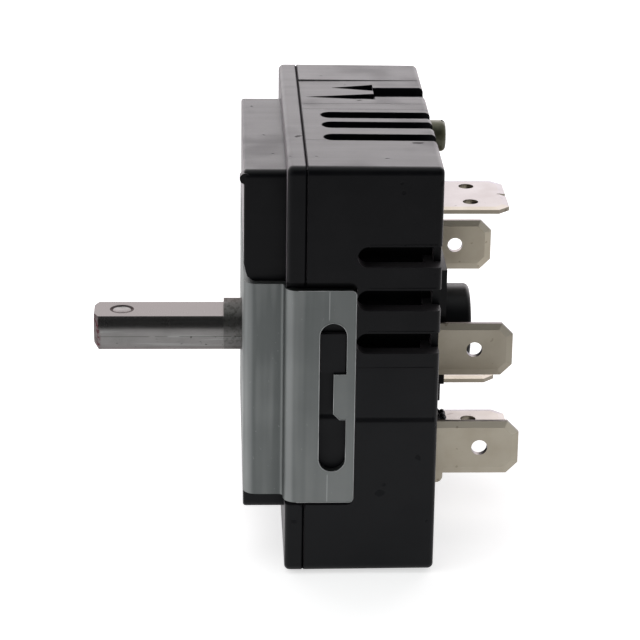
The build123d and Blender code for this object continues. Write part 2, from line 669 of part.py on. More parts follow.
def housing():
    """Moulded rear tray with vents, flange recesses, rear hub and terminal slots."""
    back = Plane(origin=(0, SEAM_Y, 0), x_dir=(-1, 0, 0), z_dir=(0, 1, 0))
    outline = Pos(0, MID_Z) * RectangleRounded(WIDTH, HEIGHT, CORNER_R)
    body = extrude(back * outline, amount=HOUSING_DEPTH, taper=DRAFT_DEG)
    body = fillet(body.faces().sort_by(Axis.Y)[-1].edges(), EDGE_R)
    for side in (-1, 1):
        body += side_marks(side)
    cavity = Pos(0, MID_Z) * RectangleRounded(WIDTH - 2 * WALL, HEIGHT - 2 * WALL, CORNER_R / 2)
    body -= prism(cavity, SEAM_Y - WALL, FLOOR_Y)
    body += rear_fittings()
    # Slotted posts for the detent spring
    for side in (-1, 1):
        x = DETENT_POST_X
        z = side * DETENT_POST_Z
        half = DETENT_POST_HALF
        body += block(x - half, x + half, DETENT_DISC_Y - 4 * SEAT, FLOOR_Y + SHEET, z - half, z + half)
    body -= prism(detent_section(DETENT_SLOT), DETENT_DISC_Y - SHEET, FLOOR_Y - SHEET)
    # Flange recesses and vents
    for side in (-1, 1):
        body -= flange_recess(side)
        for cut in side_vents(side):
            body -= cut
    for x in TOP_VENT_X:
        body -= top_vent(x)
    # Baffle behind the near side's vents
    vents_low = SIDE_VENT_Z[-1] - SIDE_VENT_HEIGHT
    vents_high = SIDE_VENT_Z[0] + SIDE_VENT_HEIGHT
    baffle_x = HALF - BAFFLE_IN
    body += block(baffle_x, baffle_x + BAFFLE, VENT_START_Y - SHEET, FLOOR_Y + SEAT, vents_low, vents_high)
    # Shadow groove round the seam with the cover
    inner = Rectangle(WIDTH - 2 * SEAM_GROOVE_DEPTH, HEIGHT - 2 * SEAM_GROOVE_DEPTH)
    body -= prism(outline - Pos(0, MID_Z) * inner, SEAM_Y - SHEET, SEAM_Y + SEAM_GROOVE)
    # Two slightly sunk bands on the top face, with the arrow in the deeper one
    far_x, middle_x, near_x = TOP_BAND_X
    for x, depth in ((near_x, TOP_BAND_STEP), (middle_x, 2 * TOP_BAND_STEP)):
        body -= block(far_x, x, SEAM_Y - WALL, REAR_Y + WALL, TOP_Z - depth, TOP_Z + WALL)
    body -= arrow_recess()
    for cut in terminal_slots():
        body -= cut
    # Catch that stands in the flange's slot above its tongue
    inset = 3 * SEAT
    catch_low = TONGUE_TOP_Z + 2 * SEAT
    for side in (-1, 1):
        low, high = outwards(side, RECESS_X - SHEET / 2, HALF - SHEET / 3)
        y0 = KEY_SLOT_Y + inset
        y1 = KEY_SLOT_Y + KEY_SLOT_WIDTH - inset
        body += block(low, high, y0, y1, catch_low, catch_low + CATCH_HEIGHT)
    # Bearing, pin hole and screw hole
    body -= disc(0, 0, REAR_JOURNAL_R + RUNNING, FLOOR_Y - SHEET, HUB_BORE_END_Y)
    post_start = LEVER_REAR_Y + LEVER_CLEAR
    body += disc(PIVOT_X, PIVOT_Z, PIVOT_R + PIVOT_BOSS_WALL, post_start, FLOOR_Y + SEAT)
    body -= disc(PIVOT_X, PIVOT_Z, bore(PIVOT_R), LEVER_REAR_Y, FLOOR_Y + PIN_SEAT)
    return body - disc(SCREW_X, SCREW_Z, bore(SCREW_SHANK_R), FLOOR_Y - SHEET, REAR_Y + SHEET)


def spiral_profile():
    """Rim of the setting spiral: the line that the lever's nose leaves as it swings in step."""
    rise = []
    for i in range(SPIRAL_STEPS + 1):
        share = i / SPIRAL_STEPS
        turn = TURN_DEG * share
        x, z = turned(NOSE_X, NOSE_Z, LEVER_SWING_DEG * share)
        rise.append((hypot(x, z) - NOSE_R - CAM_GAP, degrees(atan2(x, z)) - turn))
    low_r, low_at = rise[0]
    high_r, high_at = rise[-1]
    fall_from = high_at - SPIRAL_RUN_ON_DEG
    fall_to = low_at + SPIRAL_RUN_ON_DEG
    points = [(low_r, fall_to)] + rise + [(high_r, fall_from)]
    # The fall from the highest to the lowest radius fills what is left of the turn.
    fall = 360 - (fall_to - fall_from)
    for i in range(1, SPIRAL_FALL_STEPS):
        share = i / SPIRAL_FALL_STEPS
        eased = share * share * (3 - 2 * share)
        points.append((high_r + (low_r - high_r) * eased, fall_from - fall * share))
    return make_face(Spline(*[polar(r, a) for r, a in points], periodic=True))


def cam_disc(lobe_at, y0):
    """Round switching cam with one lobe and a straight ramp on each side of it."""
    ramp = degrees(acos(CAM_BASE_R / CAM_LOBE_R))
    start = polar(CAM_BASE_R, lobe_at - LOBE_HALF_DEG - ramp)
    end = polar(CAM_BASE_R, lobe_at + LOBE_HALF_DEG + ramp)
    first = polar(CAM_LOBE_R, lobe_at - LOBE_HALF_DEG)
    last = polar(CAM_LOBE_R, lobe_at + LOBE_HALF_DEG)
    crest = ThreePointArc(first, polar(CAM_LOBE_R, lobe_at), last)
    lobe = make_face([Line((0, 0), start), Line(start, first), crest, Line(last, end), Line(end, (0, 0))])
    return prism(Circle(CAM_BASE_R) + lobe, y0, y0 + CAM_WIDTH)


def detent_notch():
    """V notch in the detent disc that faces the spring with the switch off."""
    outer = DETENT_DISC_R + SHEET
    inner = DETENT_DISC_R - SHEET
    floor = NOTCH_FLOOR_HALF
    mouth = NOTCH_MOUTH_HALF
    return Polygon((-inner, floor), (-outer, mouth), (-outer, -mouth), (-inner, -floor), align=None)


def cam_rotor():
    """Moulded rotor: front journal, stop lug, spiral, two cams, detent disc and rear journal."""
    shoulder_y = BOSS_FLOOR_Y + 4 * SEAT
    rear_y = FLOOR_Y - 4 * SEAT
    body = disc(0, 0, JOURNAL_R, SHEET + 2 * SEAT, shoulder_y)
    body += disc(0, 0, ROTOR_HUB_R, shoulder_y, DETENT_DISC_Y)
    lug_at = 180 + STOP_RIB_HALF_DEG + STOP_LUG_HALF_DEG + STOP_GAP_DEG
    lug = sector(STOP_LUG_R, lug_at, STOP_LUG_HALF_DEG)
    body += prism(lug, SPIRAL_Y - STOP_LUG_WIDTH, SPIRAL_Y + SEAT)
    body += prism(spiral_profile(), SPIRAL_Y, SPIRAL_Y + CAM_WIDTH)
    body += cam_disc(180, PILOT_CAM_Y)
    body += cam_disc(90, LINE_CAM_Y)
    notched = Circle(DETENT_DISC_R) - detent_notch()
    body += prism(notched, DETENT_DISC_Y, DETENT_DISC_Y + DETENT_DISC_WIDTH)
    body += disc(0, 0, REAR_HUB_R, DETENT_DISC_Y, rear_y)
    body += disc(0, 0, REAR_JOURNAL_R, rear_y, HUB_BORE_END_Y - SHEET / 2)
    # Round clearance for the shaft's collar, then a D-shaped bore
    collar_end = SHAFT_COLLAR_Y + SHAFT_COLLAR_LENGTH + PUSH_TRAVEL + 4 * SEAT
    body -= disc(0, 0, SHAFT_COLLAR_R + RUNNING, -SHEET, collar_end)
    body -= prism(shaft_d(RUNNING), SHEET, SHAFT_REAR_Y)
    return body - disc(0, 0, BORE_R, SHAFT_REAR_Y - PUSH_TRAVEL / 2, HUB_END_Y)


def shaft_d(grow=0.0):
    """D section of the shaft in X and Z, flat side up, or of the bore round it."""
    radius = SHAFT_R + grow
    return Circle(radius) - Pos(0, SHAFT_FLAT + grow + radius) * Rectangle(4 * radius, 2 * radius)


def drive_shaft():
    """Turned D-shaft with a retaining collar; its flat has a shallow dimple near the tip."""
    tip_y = -SHAFT_REACH
    collar_end = SHAFT_COLLAR_Y + SHAFT_COLLAR_LENGTH
    body = lathe(
        (0, tip_y),
        (SHAFT_TIP_R, tip_y),
        (SHAFT_R, tip_y + SHAFT_TIP_BEVEL),
        (SHAFT_R, SHAFT_COLLAR_Y),
        (SHAFT_COLLAR_R, SHAFT_COLLAR_Y),
        (SHAFT_COLLAR_R, collar_end),
        (SHAFT_R, collar_end),
        (SHAFT_R, SHAFT_REAR_Y),
        (0, SHAFT_REAR_Y),
    )
    for y0, y1 in ((tip_y - SHEET, tip_y + SHAFT_FLAT_LENGTH), (collar_end, SHAFT_REAR_Y + SHEET)):
        body -= block(-SHAFT_R, SHAFT_R, y0, y1, SHAFT_FLAT, 2 * SHAFT_R)
    # A shallow ball-end dimple marks the flat.
    ball_r = (DIMPLE_R**2 + DIMPLE_DEPTH**2) / (2 * DIMPLE_DEPTH)
    centre_z = SHAFT_FLAT + ball_r - DIMPLE_DEPTH
    return body - Pos(0, tip_y + DIMPLE_FROM_TIP, centre_z) * Sphere(ball_r)


def shaft_return_spring():
    """Compression spring between the shaft's end and the hub's blind end, its wire eight-sided."""
    start = SHAFT_REAR_Y + SPRING_WIRE_R + SEAT
    length = HUB_BORE_END_Y - SPRING_WIRE_R - SEAT - start
    coil = Helix(length / SPRING_TURNS, length, SPRING_MEAN_R)
    section = Plane(origin=coil @ 0, z_dir=coil % 0) * RegularPolygon(SPRING_WIRE_R, 8)
    return Pos(0, start, 0) * Rot(-90, 0, 0) * sweep(section, path=coil)


def setting_lever():
    """Folded steel lever: two ears on the pin, a top web, and a nose that rides on the spiral."""
    hub = Pos(PIVOT_X, PIVOT_Z) * Circle(LEVER_HUB_R)
    end_z = WEB_TOP_Z - LEVER_END_R
    end = Pos(WEB_END_X - LEVER_END_R, end_z) * Circle(LEVER_END_R)
    nose = Pos(NOSE_X, NOSE_Z) * Circle(NOSE_R)
    horn_root = Pos(NOSE_X, WEB_TOP_Z - HORN_ROOT_DROP) * Rectangle(HORN_ROOT_WIDTH, LEVER_SHEET)
    bar = make_hull(hub.edges() + end.edges())
    horn = make_hull(nose.edges() + horn_root.edges())
    body = prism(bar + horn, LEVER_FRONT_Y, LEVER_FRONT_Y + LEVER_SHEET)
    rear_end = Pos(PIVOT_X + 3 * LEVER_HUB_R, end_z) * Circle(LEVER_END_R)
    rear = make_hull(hub.edges() + rear_end.edges())
    body += prism(rear, LEVER_REAR_Y - LEVER_SHEET, LEVER_REAR_Y)
    web_x = PIVOT_X + LEVER_HUB_R
    body += block(web_x, WEB_END_X, LEVER_FRONT_Y, LEVER_REAR_Y, WEB_Z, WEB_TOP_Z)
    body -= disc(PIVOT_X, PIVOT_Z, PIVOT_R + RUNNING, LEVER_FRONT_Y - CUT, LEVER_REAR_Y + CUT)
    return body - rod_z(BIMETAL_RIVET_X, MECHANISM_Y, bore(RIVET_SHANK_R), WEB_Z - CUT, WEB_TOP_Z + CUT)


def lever_pivot_pin():
    """Plain steel pin between cover and housing."""
    return disc(PIVOT_X, PIVOT_Z, PIVOT_R, COVER_FACE_Y + SEAT, FLOOR_Y + PIN_SEAT - SEAT)


def bimetal_strip():
    """Flat bimetal strip, riveted to the lever's far end, free towards the pivot."""
    half = BIMETAL_WIDTH / 2
    tip_x = STUD_X - BIMETAL_PAST_STUD
    body = block(tip_x, WEB_END_X, MECHANISM_Y - half, MECHANISM_Y + half, BIMETAL_Z, HEATER_Z)
    body = fillet(body.edges().filter_by(Axis.Z), BIMETAL_PAST_STUD)
    body -= rod_z(BIMETAL_RIVET_X, MECHANISM_Y, bore(RIVET_SHANK_R), BIMETAL_Z - CUT, HEATER_Z + CUT)
    return body - rod_z(STUD_X, MECHANISM_Y, bore(STUD_R / 2), BIMETAL_Z - CUT, HEATER_Z + CUT)


def bimetal_rivet():
    """Shouldered rivet that spaces the bimetal above the lever's web."""
    bottom = WEB_Z - RIVET_HEAD
    top = HEATER_Z + RIVET_HEAD
    body = rod_z(BIMETAL_RIVET_X, MECHANISM_Y, RIVET_SHANK_R, bottom, top)
    for z0, z1 in ((bottom, WEB_Z), (WEB_TOP_Z, BIMETAL_Z), (HEATER_Z, top)):
        body += rod_z(BIMETAL_RIVET_X, MECHANISM_Y, RIVET_HEAD_R, z0, z1)
    return body


def heater_plate():
    """Ceramic plate with its heating film, lying on the bimetal."""
    half = HEATER_WIDTH / 2
    end_x = HEATER_X + HEATER_LENGTH
    top = HEATER_Z + HEATER_THICKNESS
    body = block(HEATER_X, end_x, MECHANISM_Y - half, MECHANISM_Y + half, HEATER_Z, top)
    return chamfer(body.edges().filter_by(Axis.Z), HEATER_THICKNESS / 2)


def heater_clips():
    """Two spring-steel bands that hold the heater down on the bimetal."""
    half = HEATER_WIDTH / 2 + SEAT
    mouth_half = CLIP_MOUTH / 2
    outer_half = half + CLIP_SHEET
    top = HEATER_Z + HEATER_THICKNESS
    bottom_out = BIMETAL_Z - CLIP_SHEET
    top_out = top + CLIP_SHEET
    y = MECHANISM_Y
    clips = []
    for x in (HEATER_X + CLIP_FROM_END, HEATER_X + HEATER_LENGTH - CLIP_FROM_END):
        x0 = x - CLIP_WIDTH / 2
        x1 = x + CLIP_WIDTH / 2
        outer = block(x0, x1, y - outer_half, y + outer_half, bottom_out, top_out)
        outer = fillet(outer.edges().filter_by(Axis.X), CLIP_SHEET - SEAT / 2)
        inner = block(x0 - CUT, x1 + CUT, y - half, y + half, BIMETAL_Z, top)
        mouth = block(x0 - CUT, x1 + CUT, y - mouth_half, y + mouth_half, HEATER_Z, top + CUT)
        clips.append(outer - inner - mouth)
    return Compound(children=clips)


def push_stud():
    """Insulating stud in the bimetal's free end, which lifts the contact arm."""
    flange_z = BIMETAL_Z - STUD_R / 2
    body = rod_z(STUD_X, MECHANISM_Y, STUD_R, HEATER_Z, ARM_Z - STUD_GAP)
    body = chamfer(body.edges().sort_by(Axis.Z)[-1], STUD_R / 2)
    body += rod_z(STUD_X, MECHANISM_Y, STUD_R / 2, flange_z, HEATER_Z + SEAT)
    return body + rod_z(STUD_X, MECHANISM_Y, STUD_R, flange_z, BIMETAL_Z)


def contact_arm():
    """Bronze arm of the cycling contact, its end curled into an eye round the pin."""
    tip_x = MAIN_CONTACT_X - ARM_PAST_CONTACT
    eye = Pos(ARM_PIN_X, ARM_PIN_Z) * Circle(EYE_R)
    middle = Pos((tip_x + ARM_PIN_X) / 2, ARM_Z + ARM_THICKNESS / 2)
    leaf = middle * Rectangle(ARM_PIN_X - tip_x, ARM_THICKNESS)
    hole = Pos(ARM_PIN_X, ARM_PIN_Z) * Circle(ARM_PIN_R + RUNNING / 2)
    body = prism(eye + leaf - hole, ARM_FRONT_Y, ARM_REAR_Y)
    body = fillet(body.edges().filter_by(Axis.Z).group_by(Axis.X)[0], ARM_WIDTH / 4)
    return body - rod_z(MAIN_CONTACT_X, ARM_MID_Y, bore(CONTACT_SHANK_R), ARM_Z - CUT, ARM_Z + 2 * CUT)


def contact_arm_pin():
    """Pin that the contact arm turns on, held by the anchor's two ears."""
    proud = LEVER_CLEAR
    end = EAR_REAR_Y + TAB_THICKNESS + proud
    return disc(ARM_PIN_X, ARM_PIN_Z, ARM_PIN_R, EAR_FRONT_Y - proud, end)


def contact_rivet(sheet):
    """Contact rivet standing on Z = 0 with its head below and its tail above a sheet."""
    body = Pos(0, 0, -CONTACT_HEIGHT / 2) * Cylinder(CONTACT_R, CONTACT_HEIGHT)
    body = chamfer(body.edges().sort_by(Axis.Z)[0], 3 * SEAT)
    body += Pos(0, 0, sheet / 2) * Cylinder(CONTACT_SHANK_R, sheet + 2 * SEAT)
    return body + Pos(0, 0, sheet + CONTACT_TAIL / 2) * Cylinder(CONTACT_TAIL_R, CONTACT_TAIL)


def main_moving_contact():
    """Contact rivet under the arm's free end."""
    return Pos(MAIN_CONTACT_X, ARM_MID_Y, ARM_Z) * contact_rivet(ARM_THICKNESS)


def main_fixed_contact():
    """Contact rivet on the load terminal's shelf, facing up."""
    shelf_top = LOAD_SHELF_Z + TAB_THICKNESS / 2
    return Pos(MAIN_CONTACT_X, ARM_MID_Y, shelf_top) * Rot(180, 0, 0) * contact_rivet(TAB_THICKNESS)


def snap_spring():
    """Bow spring that flips the contact arm, from the anchor's edge down to the arm."""
    foot = (ARM_PIN_X - SNAP_FOOT_FROM_PIN, ARM_Z + ARM_THICKNESS + LEAF_THICKNESS)
    crown = (ARM_PIN_X - SNAP_CROWN_FROM_PIN, ARM_Z + SNAP_CROWN_RISE)
    head = (ANCHOR_X[0] - SEAT - LEAF_THICKNESS / 2, ANCHOR_Z)
    bow = trace(ThreePointArc(foot, crown, head), line_width=LEAF_THICKNESS)
    return prism(bow, ARM_MID_Y - SNAP_HALF_WIDTH, ARM_MID_Y + SNAP_HALF_WIDTH)


def blade_outline(half, root_y, tip_y):
    """Flat outline of a push-on blade, its length along Y and its tip's corners cut."""
    shoulder_y = tip_y - TAB_CHAMFER
    tip_half = half - TAB_CHAMFER
    return Polygon(
        (-half, root_y),
        (half, root_y),
        (half, shoulder_y),
        (tip_half, tip_y),
        (-tip_half, tip_y),
        (-half, shoulder_y),
        align=None,
    )


def level_blade(x, z, half, root_y, tip_y=TAB_TIP_Y, holes=(0.0,)):
    """Blade that lies in X and Y: sheet with coined bevels along its edges behind the housing."""
    thin = TAB_THICKNESS / 2
    core = thin - COIN_DEPTH
    body = flat_prism(blade_outline(half, root_y, tip_y), -core, core)
    body += block(-half, half, root_y, REAR_Y + SEAT, -thin, thin)
    outer = blade_outline(half, REAR_Y - COIN_WIDTH, tip_y)
    slope = degrees(atan2(COIN_WIDTH, COIN_DEPTH))
    coined = extrude(Plane.XY.offset(core) * outer, amount=COIN_DEPTH, taper=slope)
    body += coined
    body += mirror(coined, Plane.XY)
    for across in holes:
        body -= rod_z(across, tip_y - TAB_HOLE_FROM_TIP, TAB_HOLE_R, -TAB_THICKNESS, TAB_THICKNESS)
    return Pos(x, 0, z) * body


def upright_blade(x, z, root_y, tip_y=TAB_TIP_Y):
    """Blade that stands in Y and Z."""
    return Pos(x, 0, z) * Rot(0, 90, 0) * level_blade(0, 0, TAB_WIDTH / 2, root_y, tip_y)


def load_terminal():
    """Upper far terminal: upright blade whose inner plate rises and folds to the contact's shelf."""
    low = LOAD_TAB_Z - TAB_WIDTH / 2
    high = LOAD_TAB_Z + TAB_WIDTH / 2
    thin = TAB_THICKNESS / 2
    shelf_end = MAIN_CONTACT_X + CONTACT_R + LEVER_CLEAR
    path = [(LOAD_TAB_X, low), (LOAD_TAB_X, LOAD_SHELF_Z), (shelf_end, LOAD_SHELF_Z)]
    body = prism(strip(path, TAB_BEND_R, TAB_THICKNESS), ARM_FRONT_Y, ARM_REAR_Y)
    body += upright_blade(LOAD_TAB_X, LOAD_TAB_Z, ARM_REAR_Y - SHEET, TAB_TIP_Y - LOAD_TAB_SHORT)
    # Shoulders that stop the plate against the rear wall
    body += block(
        LOAD_TAB_X - thin, LOAD_TAB_X + thin, FLOOR_Y - 2 * SHOULDER, FLOOR_Y, low - SHOULDER, high + SHOULDER
    )
    return body - rod_z(
        MAIN_CONTACT_X, ARM_MID_Y, bore(CONTACT_SHANK_R), LOAD_SHELF_Z - CUT, LOAD_SHELF_Z + CUT
    )


def folded_both_ways(path, low, high, keep):
    """Sheet folded in X and Y between two heights, cut to the flat shapes that it keeps."""
    return flat_prism(strip(path, TAB_BEND_R, TAB_THICKNESS), low, high) & keep


def second_load_terminal():
    """Upright blade beside the hub: a foot along the rear wall and a tongue for the fixed contact."""
    x = SECOND_LOAD_X
    low = SECOND_LOAD_Z - TAB_WIDTH / 2
    high = SECOND_LOAD_Z + TAB_WIDTH / 2
    tongue_low = LINE_CONTACT_Z - LINE_TONGUE_HALF
    tongue_high = LINE_CONTACT_Z + LINE_TONGUE_HALF
    front = LINE_LEAF_Y - LINE_TONGUE_HALF - 2 * TAB_THICKNESS / 3
    path = [(x, TAB_TIP_Y), (x, FOOT_Y), (LINE_TONGUE_X, FOOT_Y), (LINE_TONGUE_X, front)]
    foot_start = x + TAB_BEND_R
    foot_front = FLOOR_Y - TAB_THICKNESS
    tongue_back = foot_front - TAB_BEND_R
    reach = LINE_TONGUE_X + TAB_THICKNESS
    keep = upright_blade(x, SECOND_LOAD_Z, foot_front)
    keep += block(x - TAB_THICKNESS, foot_start, foot_front, FLOOR_Y + CUT, low, high)
    keep += block(foot_start, reach, tongue_back, FLOOR_Y + SEAT, low, tongue_high)
    keep += block(foot_start, reach, front - CUT, tongue_back, tongue_low, tongue_high)
    body = folded_both_ways(path, low, tongue_high, keep)
    return body - rod_x(LINE_LEAF_Y, LINE_CONTACT_Z, bore(CONTACT_SHANK_R), foot_start, reach + CUT)


def second_line_terminal():
    """Lower near terminal: upright blade, foot and tongue that the line blade is riveted to."""
    x = SECOND_LINE_X
    low = SECOND_LINE_Z - TAB_WIDTH / 2
    high = SECOND_LINE_Z + TAB_WIDTH / 2
    front = LINE_LEAF_Y - LEAF_WIDTH / 2 - SHEET / 2
    path = [(x, TAB_TIP_Y), (x, FOOT_Y), (LINE_ROOT_X, FOOT_Y), (LINE_ROOT_X, front)]
    keep = upright_blade(x, SECOND_LINE_Z, FLOOR_Y - TAB_THICKNESS)
    keep += block(LINE_ROOT_X - CUT, x + CUT, front - CUT, FLOOR_Y + CUT, low, high)
    body = folded_both_ways(path, low, high, keep)
    # Lug that bears on the rear face, its lower rear corner rounded
    thin = TAB_THICKNESS / 2
    lug_end = REAR_Y + LUG_REACH
    lug = block(x - thin, x + thin, REAR_Y, lug_end, low - LUG_DROP, low + 2 * COIN_WIDTH)
    corner = lug.edges().filter_by(Axis.X).group_by(Axis.Z)[0].sort_by(Axis.Y)[-1]
    body += fillet(corner, SHOULDER)
    return body - rod_x(LINE_LEAF_Y, SECOND_LINE_Z, bore(RIVET_SHANK_R), LINE_ROOT_X - CUT, LINE_ROOT_X + CUT)


def pilot_supply_terminal():
    """Lower far terminal: one level plate straight through the rear wall."""
    front = PILOT_LEAF_Y - LEAF_WIDTH / 2 - LEVER_CLEAR
    body = level_blade(PILOT_SUPPLY_X, PILOT_SUPPLY_Z, TAB_WIDTH / 2, front)
    low = PILOT_SUPPLY_Z - CUT
    high = PILOT_SUPPLY_Z + CUT
    return body - rod_z(PILOT_SUPPLY_X, PILOT_LEAF_Y, bore(RIVET_SHANK_R), low, high)


def pilot_lamp_terminal():
    """Lower middle terminal: level blade, foot up the rear wall and a tongue over the pilot leaf."""
    half = TAB_WIDTH / 2
    left = PILOT_LAMP_X - half
    blade_right = PILOT_LAMP_X + half
    tongue_left = PILOT_CONTACT_X - CONTACT_R
    right = PILOT_CONTACT_X + CONTACT_R + 2 * SEAT
    z0 = PILOT_LAMP_Z - CUT
    z1 = PILOT_TONGUE_Z + CUT
    front = PILOT_LEAF_Y - LEAF_WIDTH / 2 - LEVER_CLEAR
    path = [
        (TAB_TIP_Y, PILOT_LAMP_Z),
        (FOOT_Y, PILOT_LAMP_Z),
        (FOOT_Y, PILOT_TONGUE_Z),
        (front, PILOT_TONGUE_Z),
    ]
    body = side_prism(strip(path, TAB_BEND_R, TAB_THICKNESS), left, right)
    keep = level_blade(PILOT_LAMP_X, PILOT_LAMP_Z, half, FLOOR_Y - TAB_THICKNESS)
    wall_face = FLOOR_Y + SEAT / 5
    keep += block(left, blade_right, FOOT_Y, FLOOR_Y + CUT, z0, PILOT_TONGUE_Z)
    keep += block(left, right, FLOOR_Y - 2 * CUT, wall_face, PILOT_LAMP_Z + TAB_BEND_R, z1)
    keep += block(left, blade_right, FLOOR_Y - 2 * CUT, wall_face, z0, z1)
    keep += block(tongue_left, right, front - CUT, FLOOR_Y - CUT, PILOT_TONGUE_Z - CUT, z1)
    body &= keep
    return body - rod_z(PILOT_CONTACT_X, PILOT_LEAF_Y, bore(CONTACT_SHANK_R), PILOT_TONGUE_Z - CUT, z1)


def double_terminal():
    """Two level blades in one stamping, with the anchor of the contact arm inside."""
    left = DOUBLE_TAB_X - DOUBLE_TAB_HALF
    blade_right = DOUBLE_TAB_X + DOUBLE_TAB_HALF
    right = ANCHOR_X[1]
    z = DOUBLE_TAB_Z
    hole = DOUBLE_HOLE_SPACING / 2
    path = [(TAB_TIP_Y, z), (FOOT_Y, z), (FOOT_Y, ANCHOR_Z), (EAR_FRONT_Y, ANCHOR_Z)]
    body = side_prism(strip(path, TAB_BEND_R, TAB_THICKNESS), left, right)
    foot_front = FLOOR_Y - TAB_THICKNESS
    keep = level_blade(DOUBLE_TAB_X, z, DOUBLE_TAB_HALF, foot_front, holes=(-hole, hole))
    wall_face = FLOOR_Y + SEAT / 5
    foot_low = z + TAB_BEND_R
    foot_high = ANCHOR_Z - TAB_BEND_R
    keep += block(left, blade_right, FOOT_Y, FLOOR_Y + CUT, z - CUT, foot_low)
    keep += block(left, blade_right, FLOOR_Y - 2 * CUT, wall_face, z - CUT, foot_low)
    keep += block(left, right, FLOOR_Y - 2 * CUT, wall_face, foot_low, foot_high)
    keep += block(ANCHOR_X[0], right, EAR_FRONT_Y - CUT, wall_face, foot_high, ANCHOR_Z + CUT)
    body &= keep
    # Slit between the two tips
    slit = Polygon((0, -SLIT_DEPTH), (SLIT_HALF, SEAT), (-SLIT_HALF, SEAT), align=None)
    body -= flat_prism(Pos(DOUBLE_TAB_X, TAB_TIP_Y) * slit, z - CUT, z + CUT)
    # Lug that the calibration screw bears on
    lug_half = SCREW_SHANK_R + SHOULDER
    lug_top = SCREW_Z + SCREW_SHANK_R
    body += block(SCREW_X - lug_half, SCREW_X + lug_half, foot_front, FLOOR_Y, foot_high - SEAT, lug_top)
    # Two ears that hold the arm's pin
    for y in (EAR_FRONT_Y, EAR_REAR_Y):
        ear = block(ARM_PIN_X - EAR_HALF, ARM_PIN_X + EAR_HALF, y, y + TAB_THICKNESS, ARM_Z, ANCHOR_Z)
        body += fillet(ear.edges().filter_by(Axis.Y).group_by(Axis.Z)[0], EYE_R - SEAT)
    return body - disc(ARM_PIN_X, ARM_PIN_Z, bore(ARM_PIN_R), EAR_FRONT_Y - CUT, EAR_REAR_Y + 2 * CUT)


def line_blade():
    """Spring leaf of the second pole, held open by the line cam with the switch off."""
    low = SECOND_LINE_Z - LEAF_TAIL
    high = LINE_CONTACT_Z + LINE_TONGUE_HALF
    half = LEAF_WIDTH / 2
    body = block(LEAF_R, LEAF_R + LEAF_THICKNESS, LINE_LEAF_Y - half, LINE_LEAF_Y + half, low, high)
    body = fillet(body.edges().filter_by(Axis.X), half / 3)
    body -= rod_x(LINE_LEAF_Y, SECOND_LINE_Z, bore(RIVET_SHANK_R), LEAF_R - CUT, LEAF_R + CUT)
    return body - rod_x(LINE_LEAF_Y, LINE_CONTACT_Z, bore(CONTACT_SHANK_R), LEAF_R - CUT, LEAF_R + CUT)


def line_moving_contact():
    """Contact rivet on the leaf, facing the rotor's side."""
    place = Pos(LEAF_R, LINE_LEAF_Y, LINE_CONTACT_Z) * Rot(0, 90, 0)
    return place * contact_rivet(LEAF_THICKNESS)


def line_fixed_contact():
    """Contact rivet on the second load terminal's tongue."""
    face = LINE_TONGUE_X + TAB_THICKNESS / 2
    return Pos(face, LINE_LEAF_Y, LINE_CONTACT_Z) * Rot(0, -90, 0) * contact_rivet(TAB_THICKNESS)


def pilot_blade():
    """Spring leaf of the pilot contact, lying on its terminal and passing under the rotor."""
    left = PILOT_SUPPLY_X - LEAF_TAIL
    right = PILOT_CONTACT_X + LINE_TONGUE_HALF
    half = LEAF_WIDTH / 2
    top = PILOT_LEAF_Z + LEAF_THICKNESS
    body = block(left, right, PILOT_LEAF_Y - half, PILOT_LEAF_Y + half, PILOT_LEAF_Z, top)
    body = fillet(body.edges().filter_by(Axis.Z), half / 3)
    body -= rod_z(PILOT_SUPPLY_X, PILOT_LEAF_Y, bore(RIVET_SHANK_R), PILOT_LEAF_Z - CUT, top + CUT)
    return body - rod_z(PILOT_CONTACT_X, PILOT_LEAF_Y, bore(CONTACT_SHANK_R), PILOT_LEAF_Z - CUT, top + CUT)


def pilot_moving_contact():
    """Contact rivet on the pilot leaf, facing up."""
    top = PILOT_LEAF_Z + LEAF_THICKNESS
    return Pos(PILOT_CONTACT_X, PILOT_LEAF_Y, top) * Rot(180, 0, 0) * contact_rivet(LEAF_THICKNESS)


def pilot_fixed_contact():
    """Contact rivet under the pilot lamp terminal's tongue."""
    bottom = PILOT_TONGUE_Z - TAB_THICKNESS / 2
    return Pos(PILOT_CONTACT_X, PILOT_LEAF_Y, bottom) * contact_rivet(TAB_THICKNESS)


def blade_rivets():
    """The two rivets that hold the leaves to their terminals."""
    stack = LEAF_THICKNESS + TAB_THICKNESS
    rivet = Pos(0, 0, stack / 2) * Cylinder(RIVET_SHANK_R, stack + 2 * SEAT)
    rivet += Pos(0, 0, -RIVET_HEAD / 2) * Cylinder(RIVET_HEAD_R, RIVET_HEAD)
    rivet += Pos(0, 0, stack + RIVET_HEAD / 2) * Cylinder(RIVET_HEAD_R, RIVET_HEAD)
    line = Pos(LEAF_R, LINE_LEAF_Y, SECOND_LINE_Z) * Rot(0, 90, 0) * rivet
    pilot = Pos(PILOT_SUPPLY_X, PILOT_LEAF_Y, PILOT_LEAF_Z + LEAF_THICKNESS) * Rot(180, 0, 0) * rivet
    return Compound(children=[line, pilot])


def detent_section(thickness):
    """Bent leaf in X and Z: both ends in the posts' slots, the bump in the rotor's off notch."""
    bump_x = -DETENT_DISC_R + DETENT_ENTRY
    knee_x = -DETENT_DISC_R - DETENT_KNEE_OUT
    end_z = DETENT_POST_Z + DETENT_POST_HALF / 2
    path = [
        (DETENT_POST_X, end_z),
        (knee_x, DETENT_KNEE_Z),
        (bump_x, 0),
        (knee_x, -DETENT_KNEE_Z),
        (DETENT_POST_X, -end_z),
    ]
    return strip(path, DETENT_POST_HALF / 2, thickness)


